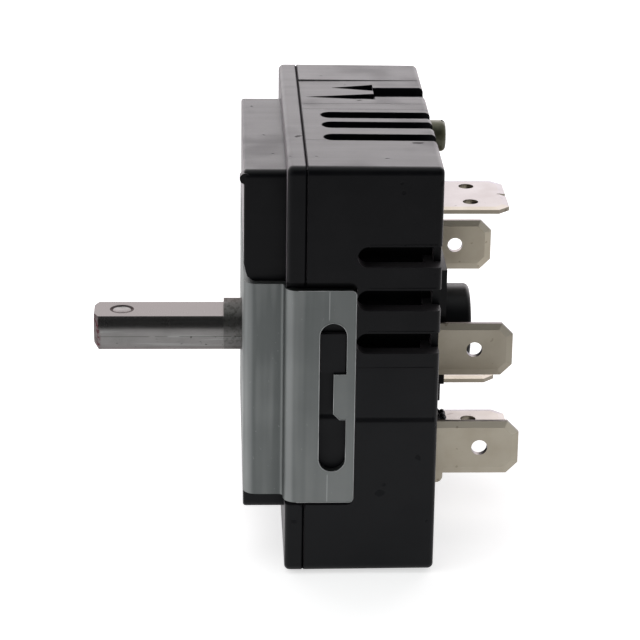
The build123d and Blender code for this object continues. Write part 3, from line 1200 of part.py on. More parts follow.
def detent_spring():
    """Leaf spring that clicks into the rotor's notch at off."""
    end = DETENT_DISC_Y + DETENT_DISC_WIDTH - 4 * SEAT
    return prism(detent_section(LEAF_THICKNESS), DETENT_DISC_Y, end)


def calibration_screw():
    """Screw from the rear that sets the contact arm's anchor."""
    end = REAR_Y + SCREW_HEAD
    head = disc(SCREW_X, SCREW_Z, SCREW_HEAD_R, REAR_Y + SEAT, end)
    head = fillet(head.edges().sort_by(Axis.Y)[-1], SCREW_SLOT)
    half = SCREW_SLOT / 2
    reach = 2 * SCREW_HEAD_R
    slot = block(SCREW_X - half, SCREW_X + half, end - SCREW_SLOT, end + CUT, SCREW_Z - reach, SCREW_Z + reach)
    return head - slot + disc(SCREW_X, SCREW_Z, SCREW_SHANK_R, FLOOR_Y + SEAT, REAR_Y + 2 * SEAT)


PIECES = {
    "housing": housing,
    "front_cover": front_cover,
    "mounting_bracket": mounting_bracket,
    "drive_shaft": drive_shaft,
    "cam_rotor": cam_rotor,
    "shaft_return_spring": shaft_return_spring,
    "setting_lever": setting_lever,
    "lever_pivot_pin": lever_pivot_pin,
    "bimetal_strip": bimetal_strip,
    "bimetal_rivet": bimetal_rivet,
    "heater_plate": heater_plate,
    "heater_clips": heater_clips,
    "push_stud": push_stud,
    "contact_arm": contact_arm,
    "contact_arm_pin": contact_arm_pin,
    "snap_spring": snap_spring,
    "main_moving_contact": main_moving_contact,
    "main_fixed_contact": main_fixed_contact,
    "load_terminal": load_terminal,
    "second_load_terminal": second_load_terminal,
    "second_line_terminal": second_line_terminal,
    "pilot_supply_terminal": pilot_supply_terminal,
    "pilot_lamp_terminal": pilot_lamp_terminal,
    "double_terminal": double_terminal,
    "line_blade": line_blade,
    "line_moving_contact": line_moving_contact,
    "line_fixed_contact": line_fixed_contact,
    "pilot_blade": pilot_blade,
    "pilot_moving_contact": pilot_moving_contact,
    "pilot_fixed_contact": pilot_fixed_contact,
    "blade_rivets": blade_rivets,
    "detent_spring": detent_spring,
    "calibration_screw": calibration_screw,
}

os.makedirs("parts", exist_ok=True)
for name, make in PIECES.items():
    export_step(make(), "parts/" + name + ".step")
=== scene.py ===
import json
from math import pi, radians

import bpy
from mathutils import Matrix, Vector


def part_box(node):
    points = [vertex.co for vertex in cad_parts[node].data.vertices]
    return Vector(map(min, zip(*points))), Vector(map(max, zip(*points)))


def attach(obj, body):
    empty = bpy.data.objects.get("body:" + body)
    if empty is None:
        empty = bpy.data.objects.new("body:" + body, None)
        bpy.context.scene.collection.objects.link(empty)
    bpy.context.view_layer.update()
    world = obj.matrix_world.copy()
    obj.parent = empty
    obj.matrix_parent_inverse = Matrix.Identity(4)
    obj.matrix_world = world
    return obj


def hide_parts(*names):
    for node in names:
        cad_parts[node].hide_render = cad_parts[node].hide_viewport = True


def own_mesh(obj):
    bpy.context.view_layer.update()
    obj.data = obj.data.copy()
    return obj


# Looks of an infinite switch. Metres; the shaft lies on Y with its tip towards -Y, and +Z is up.

MM = 0.001

# Camera at the photograph's angle
CAMERA_PLACE = (0.28352, -0.00306, 0.10722)
CAMERA_TURN_DEG = (69.3717, -0.7507, 87.8189)
FOCAL_OVER_WIDTH = 2598.447 / 640
SENSOR = 36.0
CLIP_START = 0.01

# Floor and studio light. Reflections see the floor glow white, a painted pool of light out to the
# pool's radii, where it fades.
FLOOR_SIZE = 3.0
FLOOR_DROP = 0.0003
PALE = (0.80, 0.80, 0.80)
FLOOR_LIFT = 0.62
FLOOR_PAINTED_POOL = (0.10, 0.21)
FLOOR_PAINTED_POOL_FADE = 0.94
ROOM_LIGHT = 0.25
ROOM_DIM_SIDE = 0.06
ROOM_DIM_BAND = (-0.1, 0.35)
WHITE = (1.0, 1.0, 1.0)
RAYS = ("Is Camera Ray", "Is Glossy Ray", "Is Transmission Ray")
BACK_LIGHT_COLOUR = (1.0, 0.945, 0.965)
FRONT_LIGHT_COLOUR = (0.97, 1.0, 1.0)

# Each lamp's name, place, size, power and colour
SOFT_BOXES = (
    ("back_wall", (-0.75, 0.0, 0.36), (1.6, 1.0), 11.0, BACK_LIGHT_COLOUR),
    ("overhead", (0.10, -0.15, 0.70), (0.6, 0.6), 1.2, FRONT_LIGHT_COLOUR),
    ("left_side", (0.25, -0.60, 0.30), (0.4, 0.4), 0.8, FRONT_LIGHT_COLOUR),
)

# Colours of the finishes
BLACK_MOULDING = (0.0024, 0.0026, 0.0036)
BLACK_MOULDING_WORN = (0.0054, 0.0054, 0.0066)
# Painted bounce light: the colour of the moulding's lighter lower part
BOUNCE_LIT_MOULDING = (0.0096, 0.0102, 0.0118)
SHEEN_TINT = (1.0, 0.91, 0.965)
CREAM_MOULDING = (0.56, 0.52, 0.44)
CREAM_FLOW = (0.44, 0.40, 0.33)
ZINC = (0.206, 0.216, 0.213)
ZINC_DULL = (0.131, 0.141, 0.140)
# Bright zinc: scribe marks and specks, and painted highlight on the folds and burr rims
ZINC_BRIGHT = (0.36, 0.37, 0.37)
# Painted highlight: the darker tone of the bright burr rims
ZINC_RIM_HIGHLIGHT = (0.24, 0.25, 0.25)
TURNED_STEEL = (0.185, 0.180, 0.178)
TURNED_STEEL_DULL = (0.160, 0.157, 0.154)
SHAFT_ROOT = (0.062, 0.061, 0.056)
# Painted shade at the edge of the dimple in the shaft's flat
DIMPLE_PAINTED_SHADE = (0.022, 0.022, 0.021)
SHAFT_DRAWN = (0.26, 0.265, 0.26)
SHAFT_EDGE_TINT = (0.50, 0.475, 0.475)
SHAFT_TIP_STAIN = (0.085, 0.026, 0.034)
TINNED = (0.350, 0.320, 0.262)
TINNED_DULL = (0.310, 0.278, 0.222)
# Painted highlight on the upright blades' upper bevels
TINNED_BEVEL_HIGHLIGHT = (0.56, 0.52, 0.43)
TINNED_MARK = (0.16, 0.135, 0.10)
TINNED_EDGE_TINT = (0.58, 0.60, 0.76)
SHEET_STEEL = (0.40, 0.40, 0.39)
SHEET_STEEL_DULL = (0.29, 0.29, 0.28)
SPRING_STEEL = (0.45, 0.45, 0.46)
SPRING_STEEL_DULL = (0.32, 0.32, 0.33)
BRONZE = (0.62, 0.40, 0.20)
BRONZE_DULL = (0.46, 0.29, 0.15)
BRASS = (0.70, 0.55, 0.28)
BRASS_DULL = (0.52, 0.39, 0.20)
SILVER = (0.74, 0.73, 0.71)
SILVER_DULL = (0.58, 0.56, 0.53)
CERAMIC = (0.80, 0.79, 0.75)
CERAMIC_SHADE = (0.60, 0.58, 0.53)
RESISTOR_FILM = (0.05, 0.045, 0.04)
RESISTOR_GRIT = (0.10, 0.09, 0.08)
COPPER_SIDE = (0.66, 0.40, 0.27)
STRIP_STAIN = (0.30, 0.25, 0.22)
OLIVE_LACQUER = (0.050, 0.050, 0.026)
OLIVE_LACQUER_THIN = (0.092, 0.089, 0.050)

# Finish and painted lightness of each upright blade, lit and shaded copies of the tinned finish for
# the light each one gets, and lightness of the level ones
UPRIGHT_BLADES = {
    "load_terminal": ("tinned_far_blade", 1.12),
    "second_load_terminal": ("tinned_dull_blade", 0.78),
    "second_line_terminal": ("tinned_near_blade", 0.96),
}
LEVEL_BLADE_TONE = 1.0

# Gloss of the black moulding
MOULDING_IOR = 1.225
MOULDING_SHEEN = 0.32
MOULDING_SHEEN_ROUGHNESS = 0.30

# Levels of a noise between which rare marks fade in
NICKS = (0.745, 0.765)
ZINC_SPECKS = (0.74, 0.79)
SHAFT_PITS = (0.72, 0.75)
PRESS_MARKS = (0.73, 0.76)
NOISE_ROUGHNESS = 0.55

# Lines on the moulding: the seam with the cover, those of the mould's inserts on the top face with
# their strength, and one across the side, each with its half width and blur. Then how deep the top
# face's lines go, and the heights between which the sides are painted lighter downwards, as painted
# bounce light from the floor.
SEAM_LINE_IN = 0.10 * MM
SEAM_LINE = (0.13 * MM, 0.05 * MM)
INSERT_LINES = ((-3.62, 0.7), (-1.18, 0.6), (11.06, 0.5))
INSERT_LINE = (0.03 * MM, 0.05 * MM)
WITNESS_Z = -3.26 * MM
WITNESS_LINE = (0.12 * MM, 0.30 * MM)
TOP_SKIN = 0.3 * MM
PAINTED_BOUNCE_Z = (13.0 * MM, -4.0 * MM)

# Places on the other pieces: how far the cover's rim and the screw's head stand past the seam and
# the rear face, the bracket's slot from its ends, and its scribe mark from its rear edge. A fold of
# the bracket or a bevel of a blade that is painted bright as a highlight is found by its normal:
# middle, half width and blur.
COVER_RIM = 1.2 * MM
SCREW_HEAD = 2.0 * MM
SLOT_FROM_END = 3.5 * MM
SLOT_END_FADE = 0.3 * MM
SCRIBE_FROM_EDGE = 2.9 * MM
SCRIBE_LINE = (0.03 * MM, 0.04 * MM)
FLANGE_FADE = 1.2 * MM
FOLD_HIGHLIGHT_NORMAL_Y = (-0.62, 0.12, 0.30)
COINED_HIGHLIGHT_NORMAL_Z = (0.42, 0.30, 0.05)

# Places along the shaft from its tip, with a dimple whose edge is painted dark as shade, and the
# fine line along its side, by the normal's Z
TIP_BEVEL = (0.95 * MM, 0.45 * MM)
ROOT_START = (14.9 * MM, 15.1 * MM)
DIMPLE_FROM_TIP = 3.2 * MM
DIMPLE_R = 1.22 * MM
DIMPLE_LINE = (0.13 * MM, 0.09 * MM)
SIDE_LINE_NORMAL_Z = (-0.17, 0.010, 0.012)
FLAT_NORMAL_Z = (0.985, 0.995)

# Half the thickness over which the bimetal changes from steel to copper
STRIP_JOIN = 0.02 * MM

# Threads in the bracket's collars, in millimetres
THREAD_SPACING = 28.0
THREAD_R = 1.64
THREAD_CREST = 0.17
THREAD_PITCH = 0.7
THREAD_START = 0.15
THREAD_LENGTH = 1.9
THREAD_FACETS = 28

# Burr round the bracket's legs: its radius in millimetres, and how and how fast it swells
RIM_R = 0.045
RIM_SWELL = 0.5
RIM_PATCH = 0.35 / MM
LEG_FACE_DEPTH = 0.02 * MM

# Burrs of moulding beside the terminal slots and on one rib, in millimetres: radius, step, share
# kept and seed
SLOT_BURRS = (0.22, 0.9, 0.36, 7)
RIB_BURRS = (0.42, 0.5, 0.7, 3)
RIB_X = (6.8, 8.9)
RIB_Y = (0.2, 1.8)
RIB_TOP = 3.75

# How far behind the rear face a blade's section is measured
PAST_HUB_PAD = 2 * MM

# Smallest and largest stretch of a bead of moulding, and how far it may turn
BEAD_LEAST = (0.5, 0.35, 0.5)
BEAD_MOST = (1.25, 0.9, 1.25)
BEAD_TURN = (0.6, 2 * pi, 0.6)

# Springs, in millimetres
COIL_WIRE_R = 0.25
COIL_TURNS = 3.5
COIL_FACETS = 32
LEAF_THICKNESS = 0.25
LEAF_KNEE_IN = 1.2
LEAF_KNEE_Z = 3.2
LEAF_BUMP_IN = 0.03
LEAF_END_IN = 0.02
LEAF_BEND = 0.6

# Heater film on the ceramic plate, in millimetres
FILM_WIDTH = 0.34
FILM_HEIGHT = 0.05
FILM_LANES = 7
FILM_LANE_PITCH = 0.72
FILM_REACH = 1.75
FILM_BEND = 0.8


class Wire:
    """A node's output that takes part in arithmetic: a formula on wires adds its Math nodes."""

    def __init__(self, tree, socket):
        self.tree = tree
        self.socket = socket

    def math(self, operation, first, second=None, clamp=False):
        node = self.tree.nodes.new("ShaderNodeMath")
        node.operation = operation
        node.use_clamp = clamp
        for index, value in enumerate((first, second)):
            if isinstance(value, Wire):
                self.tree.links.new(value.socket, node.inputs[index])
            elif value is not None:
                node.inputs[index].default_value = value
        return Wire(self.tree, node.outputs[0])

    def __add__(self, other):
        return self.math("ADD", self, other)

    def __radd__(self, other):
        return self.math("ADD", other, self)

    def __sub__(self, other):
        return self.math("SUBTRACT", self, other)

    def __rsub__(self, other):
        return self.math("SUBTRACT", other, self)

    def __mul__(self, other):
        return self.math("MULTIPLY", self, other)

    def __rmul__(self, other):
        return self.math("MULTIPLY", other, self)

    def __truediv__(self, other):
        return self.math("DIVIDE", self, other)

    def __abs__(self):
        return self.math("ABSOLUTE", self)

    def __lt__(self, other):
        return self.math("LESS_THAN", self, other)

    def __gt__(self, other):
        return self.math("GREATER_THAN", self, other)

    def root(self):
        return self.math("SQRT", self)

    def clamped(self):
        """The same wire held between 0 and 1."""
        return self.math("ADD", self, 0.0, clamp=True)


class Bench:
    """A node tree under construction: one method adds any node and returns its wires."""

    def __init__(self, tree):
        self.tree = tree

    def add(self, kind, out=0, settings=None, **values):
        """Adds a node: its settings first, then its sockets' values or links."""
        node = self.tree.nodes.new(kind)
        for key, value in (settings or {}).items():
            setattr(node, key, value)
        for key, value in values.items():
            sockets = [s for s in node.inputs if s.enabled and s.name.replace(" ", "_") == key]
            shared = value if isinstance(value, list) else [value]
            for socket, part in zip(sockets, shared):
                self.feed(socket, part)
        names = out if isinstance(out, tuple) else (out,)
        found = []
        for name in names:
            if isinstance(name, str):
                socket = next(s for s in node.outputs if s.enabled and s.name == name)
            else:
                socket = node.outputs[name]
            found.append(Wire(self.tree, socket))
        return tuple(found) if isinstance(out, tuple) else found[0]

    def feed(self, socket, value):
        """Links a wire to a socket, or writes a value on it."""
        if isinstance(value, Wire):
            self.tree.links.new(value.socket, socket)
        elif isinstance(value, tuple) and len(value) == 3 and socket.type == "RGBA":
            socket.default_value = (*value, 1.0)
        else:
            socket.default_value = value

    def band(self, value, low, high):
        """A soft step from 0 at low to 1 at high."""
        return self.add(
            "ShaderNodeMapRange",
            settings={"interpolation_type": "SMOOTHSTEP"},
            Value=value,
            From_Min=low,
            From_Max=high,
        )

    def finish(self, kind, **values):
        """Adds the tree's output node and feeds it."""
        target = self.tree.nodes.new(kind)
        for key, value in values.items():
            self.feed(target.inputs[key], value)


class Finish(Bench):
    """A material under construction."""

    def __init__(self, name):
        self.material = bpy.data.materials.new(name)
        self.material.use_nodes = True
        super().__init__(self.material.node_tree)
        self.tree.nodes.clear()
        self.place = self.add("ShaderNodeTexCoord", out="Object")
        self.x, self.y, self.z = self.parts(self.place)
        self.nx, self.ny, self.nz = self.parts(self.add("ShaderNodeNewGeometry", out="Normal"))

    def parts(self, vector):
        """The three numbers of a vector."""
        return self.add("ShaderNodeSeparateXYZ", out=("X", "Y", "Z"), Vector=vector)

    def stretched(self, sx, sy, sz):
        """Object coordinates in millimetres, stretched for grain that runs one way."""
        scale = (sx / MM, sy / MM, sz / MM)
        point = {"vector_type": "POINT"}
        return self.add("ShaderNodeMapping", settings=point, Vector=self.place, Scale=scale)

    def noise(self, scale, detail=3.0, vector=None):
        """Noise from about 0 to 1; scale is in features per millimetre."""
        return self.add(
            "ShaderNodeTexNoise",
            Vector=vector or self.stretched(1, 1, 1),
            Scale=scale,
            Detail=detail,
            Roughness=NOISE_ROUGHNESS,
        )

    def stripe(self, value, middle, half, blur):
        """1 within half of a middle value, fading to 0 over a blur."""
        return self.band(abs(value - middle), half + blur, half)

    def mix(self, factor, first, second):
        """A colour between two others."""
        return self.add(
            "ShaderNodeMix",
            out="Result",
            settings={"data_type": "RGBA"},
            Factor=factor,
            A=first,
            B=second,
        )

    def relief(self, height, distance, strength):
        """A bump whose height of 1 stands for a distance in millimetres."""
        return self.add(
            "ShaderNodeBump",
            out="Normal",
            Strength=strength,
            Distance=distance * MM,
            Height=height,
        )

    def shader(self, **values):
        """The material's surface."""
        surface = self.add("ShaderNodeBsdfPrincipled", out="BSDF", **values)
        self.finish("ShaderNodeOutputMaterial", Surface=surface)
        return self.material


class Growth(Bench):
    """A Geometry Nodes tree under construction, with a named input for each of its sizes."""

    def __init__(self, name, **sizes):
        super().__init__(bpy.data.node_groups.new(name, "GeometryNodeTree"))
        face = self.tree.interface
        face.new_socket("Path", in_out="INPUT", socket_type="NodeSocketGeometry")
        self.values = {}
        for label, value in sizes.items():
            kind = "NodeSocketInt" if isinstance(value, int) else "NodeSocketFloat"
            socket = face.new_socket(label, in_out="INPUT", socket_type=kind)
            self.values[socket.identifier] = value
        face.new_socket("Piece", in_out="OUTPUT", socket_type="NodeSocketGeometry")
        source = self.tree.nodes.new("NodeGroupInput")
        self.path = Wire(self.tree, source.outputs["Path"])
        self.size = {label: Wire(self.tree, source.outputs[label]) for label in sizes}

    def vector(self, x=0.0, y=0.0, z=0.0):
        """A vector from three numbers or wires."""
        return self.add("ShaderNodeCombineXYZ", X=x, Y=y, Z=z)

    def bent_path(self, count, radius):
        """The path as a curve, its corners rounded in a number of steps."""
        line = self.add("GeometryNodeMeshToCurve", Mesh=self.path)
        poly = {"mode": "POLY"}
        return self.add(
            "GeometryNodeFilletCurve",
            settings=poly,
            Curve=line,
            Count=count,
            Radius=radius,
        )

    def tube(self, line, section):
        """A closed solid with this section along a curve."""
        return self.add(
            "GeometryNodeCurveToMesh",
            out="Mesh",
            Curve=line,
            Profile_Curve=section,
            Fill_Caps=True,
        )

    def oblong(self, width, height):
        """A rectangular section."""
        return self.add("GeometryNodeCurvePrimitiveQuadrilateral", Width=width, Height=height)

    def random_vector(self, low, high, seed):
        """A vector for each point, drawn between two others."""
        return self.add(
            "FunctionNodeRandomValue",
            settings={"data_type": "FLOAT_VECTOR"},
            Min=low,
            Max=high,
            Seed=seed,
        )

    def grow(self, name, shape, material, body, points=(), edges=()):
        """Ends the tree, runs it on a path and keeps the result as a plain mesh on a body."""
        real = self.add("GeometryNodeRealizeInstances", Geometry=shape)
        painted = self.add("GeometryNodeSetMaterial", Geometry=real, Material=material)
        self.finish("NodeGroupOutput", Piece=painted)
        path = bpy.data.meshes.new(name + "_path")
        path.from_pydata(points, edges, [])
        carrier = bpy.data.objects.new(name + "_path", path)
        bpy.context.scene.collection.objects.link(carrier)
        modifier = carrier.modifiers.new("growth", "NODES")
        modifier.node_group = self.tree
        for identifier, value in self.values.items():
            modifier[identifier] = value
        graph = bpy.context.evaluated_depsgraph_get()
        mesh = bpy.data.meshes.new_from_object(carrier.evaluated_get(graph))
        carrier.modifiers.remove(modifier)
        bpy.data.objects.remove(carrier)
        mesh.name = name
        piece = bpy.data.objects.new(name, mesh)
        bpy.context.scene.collection.objects.link(piece)
        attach(piece, body)
        return piece


def black_moulding(seam_y, top_z):
    """Thermoset moulding: near black, satin, with flow marks, insert lines, a dust-like sheen and
    painted bounce light that lightens it towards the bottom.
    """
    f = Finish("black_moulding")
    nick = f.band(f.noise(0.55, detail=1.0), *NICKS)
    mottle = f.noise(0.35, detail=4.0)
    speck = f.noise(9.0, detail=2.0)
    flow = f.noise(1.1, detail=3.0, vector=f.stretched(1.0, 0.07, 1.0))
    smudge = f.band(f.noise(0.10, detail=2.0), 0.50, 0.66)
    # Open seam with the cover, and the lines that the mould's inserts leave
    on_top = (f.z > top_z - TOP_SKIN) * (f.y > seam_y)
    gap = f.stripe(f.y, seam_y + SEAM_LINE_IN, *SEAM_LINE)
    for x, strength in INSERT_LINES:
        gap = gap + strength * f.stripe(f.x, x * MM, *INSERT_LINE) * on_top
    witness = f.stripe(f.z, WITNESS_Z, *WITNESS_LINE) * (f.nx > 0.9)
    gap = (gap + 0.8 * witness).clamped()
    worn = (0.55 * f.band(mottle, 0.42, 0.72) + 0.25 * f.band(speck, 0.6, 0.75) - gap).clamped()
    colour = f.mix(worn, BLACK_MOULDING, BLACK_MOULDING_WORN)
    # Painted bounce light: lighter towards the bottom, where the floor's light bounces up.
    painted_bounce = f.band(f.z, *PAINTED_BOUNCE_Z) * (0.7 + 0.3 * mottle) * (1.0 - gap)
    colour = f.mix(painted_bounce, colour, BOUNCE_LIT_MOULDING)
    rough = 0.29 + 0.06 * mottle + 0.10 * flow + 0.08 * smudge + 0.55 * gap + 0.3 * nick
    grain = f.noise(14.0, detail=2.0) * 0.7 + f.noise(3.5, detail=2.0) * 0.3
    grain = grain + 1.0 * flow - 16.0 * gap - 9.0 * nick
    return f.shader(
        Base_Color=colour,
        Roughness=rough,
        IOR=MOULDING_IOR,
        Sheen_Weight=MOULDING_SHEEN,
        Sheen_Roughness=MOULDING_SHEEN_ROUGHNESS,
        Sheen_Tint=SHEEN_TINT,
        Normal=f.relief(grain, 0.005, 0.6),
    )


def zinc_plate(slot_top, slot_bottom, flange_y, scribe_y):
    """Zinc-plated mild steel: cool grey, streaked, with folds painted bright as a highlight, and
    scribe marks.
    """
    f = Finish("zinc_plate")
    grain = f.noise(6.0, detail=3.0, vector=f.stretched(1, 1, 0.05))
    wander = f.noise(0.06, detail=2.0)
    streak = f.noise(0.42, detail=2.0, vector=f.stretched(1, 1, 0.03)) + 0.5 * wander - 0.25
    on_flange = f.band(f.y, flange_y, flange_y + FLANGE_FADE)
    cloud = f.noise(0.22, detail=3.0)
    upper = f.band(f.z, slot_bottom, slot_top)
    streaked = f.band(streak, 0.36, 0.64) * (0.8 - 0.6 * on_flange)
    dull = (streaked + 0.35 * cloud + 0.4 * upper + 0.22 * on_flange).clamped()
    colour = f.mix(dull, ZINC, ZINC_DULL)
    above = f.band(f.z, slot_top, slot_top + SLOT_END_FADE)
    below = f.band(f.z, slot_bottom, slot_bottom - SLOT_END_FADE)
    scribe = f.stripe(f.y, scribe_y, *SCRIBE_LINE) * (above + below).clamped() * (f.nx > 0.9)
    # Painted highlight: the bends of the folds made brighter, found by their normal.
    rolled = f.stripe(f.ny, *FOLD_HIGHLIGHT_NORMAL_Y) * (f.nx > 0.3)
    speck = f.band(f.noise(2.4, detail=1.0), *ZINC_SPECKS)
    colour = f.mix((0.28 * rolled + 0.6 * scribe + 0.24 * speck).clamped(), colour, ZINC_BRIGHT)
    return f.shader(
        Base_Color=colour,
        Metallic=1.0,
        Roughness=0.42 + 0.10 * dull + 0.05 * grain,
        Normal=f.relief(grain - 2.0 * scribe, 0.004, 0.5),
    )


def turned_steel(tip_y):
    """Turned steel: fine rings, a cross-milled flat, a stained bevel at the tip, a dull root and a
    dimple's edge painted dark as shade.
    """
    f = Finish("turned_steel")
    rings = f.noise(9.0, detail=3.0, vector=f.stretched(0.02, 1.0, 0.02))
    milled = f.noise(7.0, detail=2.0, vector=f.stretched(0.06, 1.0, 1.0))
    on_flat = f.band(f.nz, *FLAT_NORMAL_Z)
    lines = rings * (1 - on_flat) + milled * on_flat
    cloud = f.noise(0.3, detail=3.0)
    blotch = f.band(f.noise(2.2, detail=2.0), 0.50, 0.62)
    bevel = f.band(f.y, *(tip_y + y for y in TIP_BEVEL)) * (1 - on_flat) * (f.ny > -0.95)
    root = f.band(f.y, *(tip_y + y for y in ROOT_START))
    along = f.y - tip_y - DIMPLE_FROM_TIP
    from_dimple = (f.x * f.x + along * along).root()
    # Painted shade: a dark ring at the dimple's edge on the flat.
    ring = f.stripe(from_dimple, DIMPLE_R, *DIMPLE_LINE) * (f.nz > 0.8)
    lengthwise = f.noise(3.0, detail=2.0, vector=f.stretched(1.0, 0.03, 1.0))
    drawn = f.band(lengthwise, 0.56, 0.66) * (1 - on_flat)
    colour = f.mix((f.band(cloud, 0.35, 0.7) + on_flat).clamped(), TURNED_STEEL, TURNED_STEEL_DULL)
    colour = f.mix(0.5 * drawn, colour, SHAFT_DRAWN)
    colour = f.mix(bevel * (0.25 + 0.75 * blotch), colour, SHAFT_TIP_STAIN)
    line = 0.55 * f.stripe(f.nz, *SIDE_LINE_NORMAL_Z) * (f.noise(0.6, detail=1.0) > 0.42)
    stained = root * (0.15 + 0.45 * f.band(f.nz, -0.1, 0.5) + 0.3 * blotch)
    pit = f.band(f.noise(1.6, detail=1.0), *SHAFT_PITS) * (1.0 - on_flat)
    colour = f.mix((stained + line + 0.8 * pit).clamped(), colour, SHAFT_ROOT)
    colour = f.mix(ring, colour, DIMPLE_PAINTED_SHADE)
    return f.shader(
        Base_Color=colour,
        Metallic=1.0,
        Specular_Tint=SHAFT_EDGE_TINT,
        Roughness=0.19 + 0.08 * lines + 0.05 * cloud + 0.10 * bevel + 0.20 * root,
        Normal=f.relief(lines, 0.002, 0.5),
    )


def tinned_blade(name, painted_lightness, upright):
    """Tin-plated blade stock: warm grey, rolled lines, pressing marks and darker sheared edges,
    with the upper bevels of upright blades painted bright as a highlight and each blade's lightness
    painted for the light it gets.
    """
    f = Finish(name)
    rolled = f.noise(5.0, detail=3.0, vector=f.stretched(1.0, 0.06, 1.0))
    cloud = f.noise(0.3, detail=4.0)
    press = f.band(f.noise(1.1, detail=1.0), *PRESS_MARKS)
    sheared = abs(f.nx if upright else f.nz) < 0.5
    # Painted highlight on the upward bevels of upright blades.
    bevel_highlight_mask = f.stripe(f.nz, *COINED_HIGHLIGHT_NORMAL_Z) if upright else 0.0
    # Colours scaled by the blade's painted lightness, which stands for the light it gets.
    bright = tuple(painted_lightness * part for part in TINNED)
    dull = tuple(painted_lightness * part for part in TINNED_DULL)
    bevel_highlight_colour = tuple(painted_lightness * part for part in TINNED_BEVEL_HIGHLIGHT)
    colour = f.mix(f.band(cloud, 0.3, 0.8), bright, dull)
    colour = f.mix(bevel_highlight_mask * 0.75, colour, bevel_highlight_colour)
    colour = f.mix((press * 0.5 + sheared * 0.45).clamped(), colour, TINNED_MARK)
    return f.shader(
        Base_Color=colour,
        Metallic=1.0,
        Specular_Tint=TINNED_EDGE_TINT,
        Roughness=0.33 + 0.05 * cloud + 0.04 * rolled,
        Normal=f.relief(rolled * 0.7 - press * 0.6, 0.004, 0.5),
    )


def plain_metal(name, bright, dull, rough, squeeze=(0.06, 1, 1)):
    """Stock metal for small parts: two tones in soft clouds with grain along one direction."""
    f = Finish(name)
    grain = f.noise(4.0, detail=3.0, vector=f.stretched(*squeeze))
    cloud = f.noise(0.5, detail=4.0)
    colour = f.mix(f.band(cloud, 0.35, 0.68), bright, dull)
    return f.shader(
        Base_Color=colour,
        Metallic=1.0,
        Roughness=rough + 0.10 * cloud + 0.05 * grain,
        Normal=f.relief(grain, 0.003, 0.5),
    )


def cream_moulding():
    """Rotor moulding: warm cream with flow marks and a satin skin."""
    f = Finish("cream_moulding")
    flow = f.noise(0.6, detail=4.0, vector=f.stretched(1, 0.3, 1))
    colour = f.mix(f.band(flow, 0.35, 0.7), CREAM_MOULDING, CREAM_FLOW)
    skin = f.relief(f.noise(8.0), 0.004, 0.5)
    return f.shader(Base_Color=colour, Roughness=0.42 + 0.12 * flow, Normal=skin)


def two_metal_strip(middle_z):
    """Bimetal: steel-coloured on top, copper-coloured below, with rolled lines along it."""
    f = Finish("two_metal_strip")
    rolled = f.noise(5.0, detail=3.0, vector=f.stretched(0.06, 1, 1))
    below = f.band(f.z, middle_z + STRIP_JOIN, middle_z - STRIP_JOIN)
    colour = f.mix(below, SHEET_STEEL, COPPER_SIDE)
    colour = f.mix(0.3 * f.noise(0.5), colour, STRIP_STAIN)
    return f.shader(
        Base_Color=colour,
        Metallic=1.0,
        Roughness=0.28 + 0.10 * rolled,
        Normal=f.relief(rolled, 0.003, 0.5),
    )


def ceramic():
    """Unglazed white ceramic."""
    f = Finish("ceramic")
    speckle = f.noise(6.0)
    colour = f.mix(0.3 * speckle, CERAMIC, CERAMIC_SHADE)
    bisque = f.relief(speckle, 0.006, 0.6)
    return f.shader(Base_Color=colour, Roughness=0.60 + 0.1 * speckle, Normal=bisque)


def resistor_film():
    """Fired resistor film: dark, slightly metallic and grainy."""
    f = Finish("resistor_film")
    grit = f.noise(9.0, detail=2.0)
    colour = f.mix(grit, RESISTOR_FILM, RESISTOR_GRIT)
    return f.shader(Base_Color=colour, Metallic=0.3, Roughness=0.38 + 0.15 * grit)


def olive_lacquer():
    """Sealing lacquer over the screw head: olive, uneven and slightly glossy."""
    f = Finish("olive_lacquer")
    puddle = f.noise(1.2, detail=3.0)
    colour = f.mix(f.band(puddle, 0.35, 0.65), OLIVE_LACQUER, OLIVE_LACQUER_THIN)
    return f.shader(
        Base_Color=colour,
        Metallic=0.25,
        Roughness=0.34 + 0.15 * puddle,
        Normal=f.relief(puddle, 0.05, 0.6),
    )


def bracket_zinc():
    """The zinc plate, with its marks at the bracket's slots, fold and edges."""
    low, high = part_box("mounting_bracket")
    slot_top = high.z - SLOT_FROM_END
    slot_bottom = low.z + SLOT_FROM_END
    return zinc_plate(slot_top, slot_bottom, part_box("housing")[0].y, high.y - SCRIBE_FROM_EDGE)


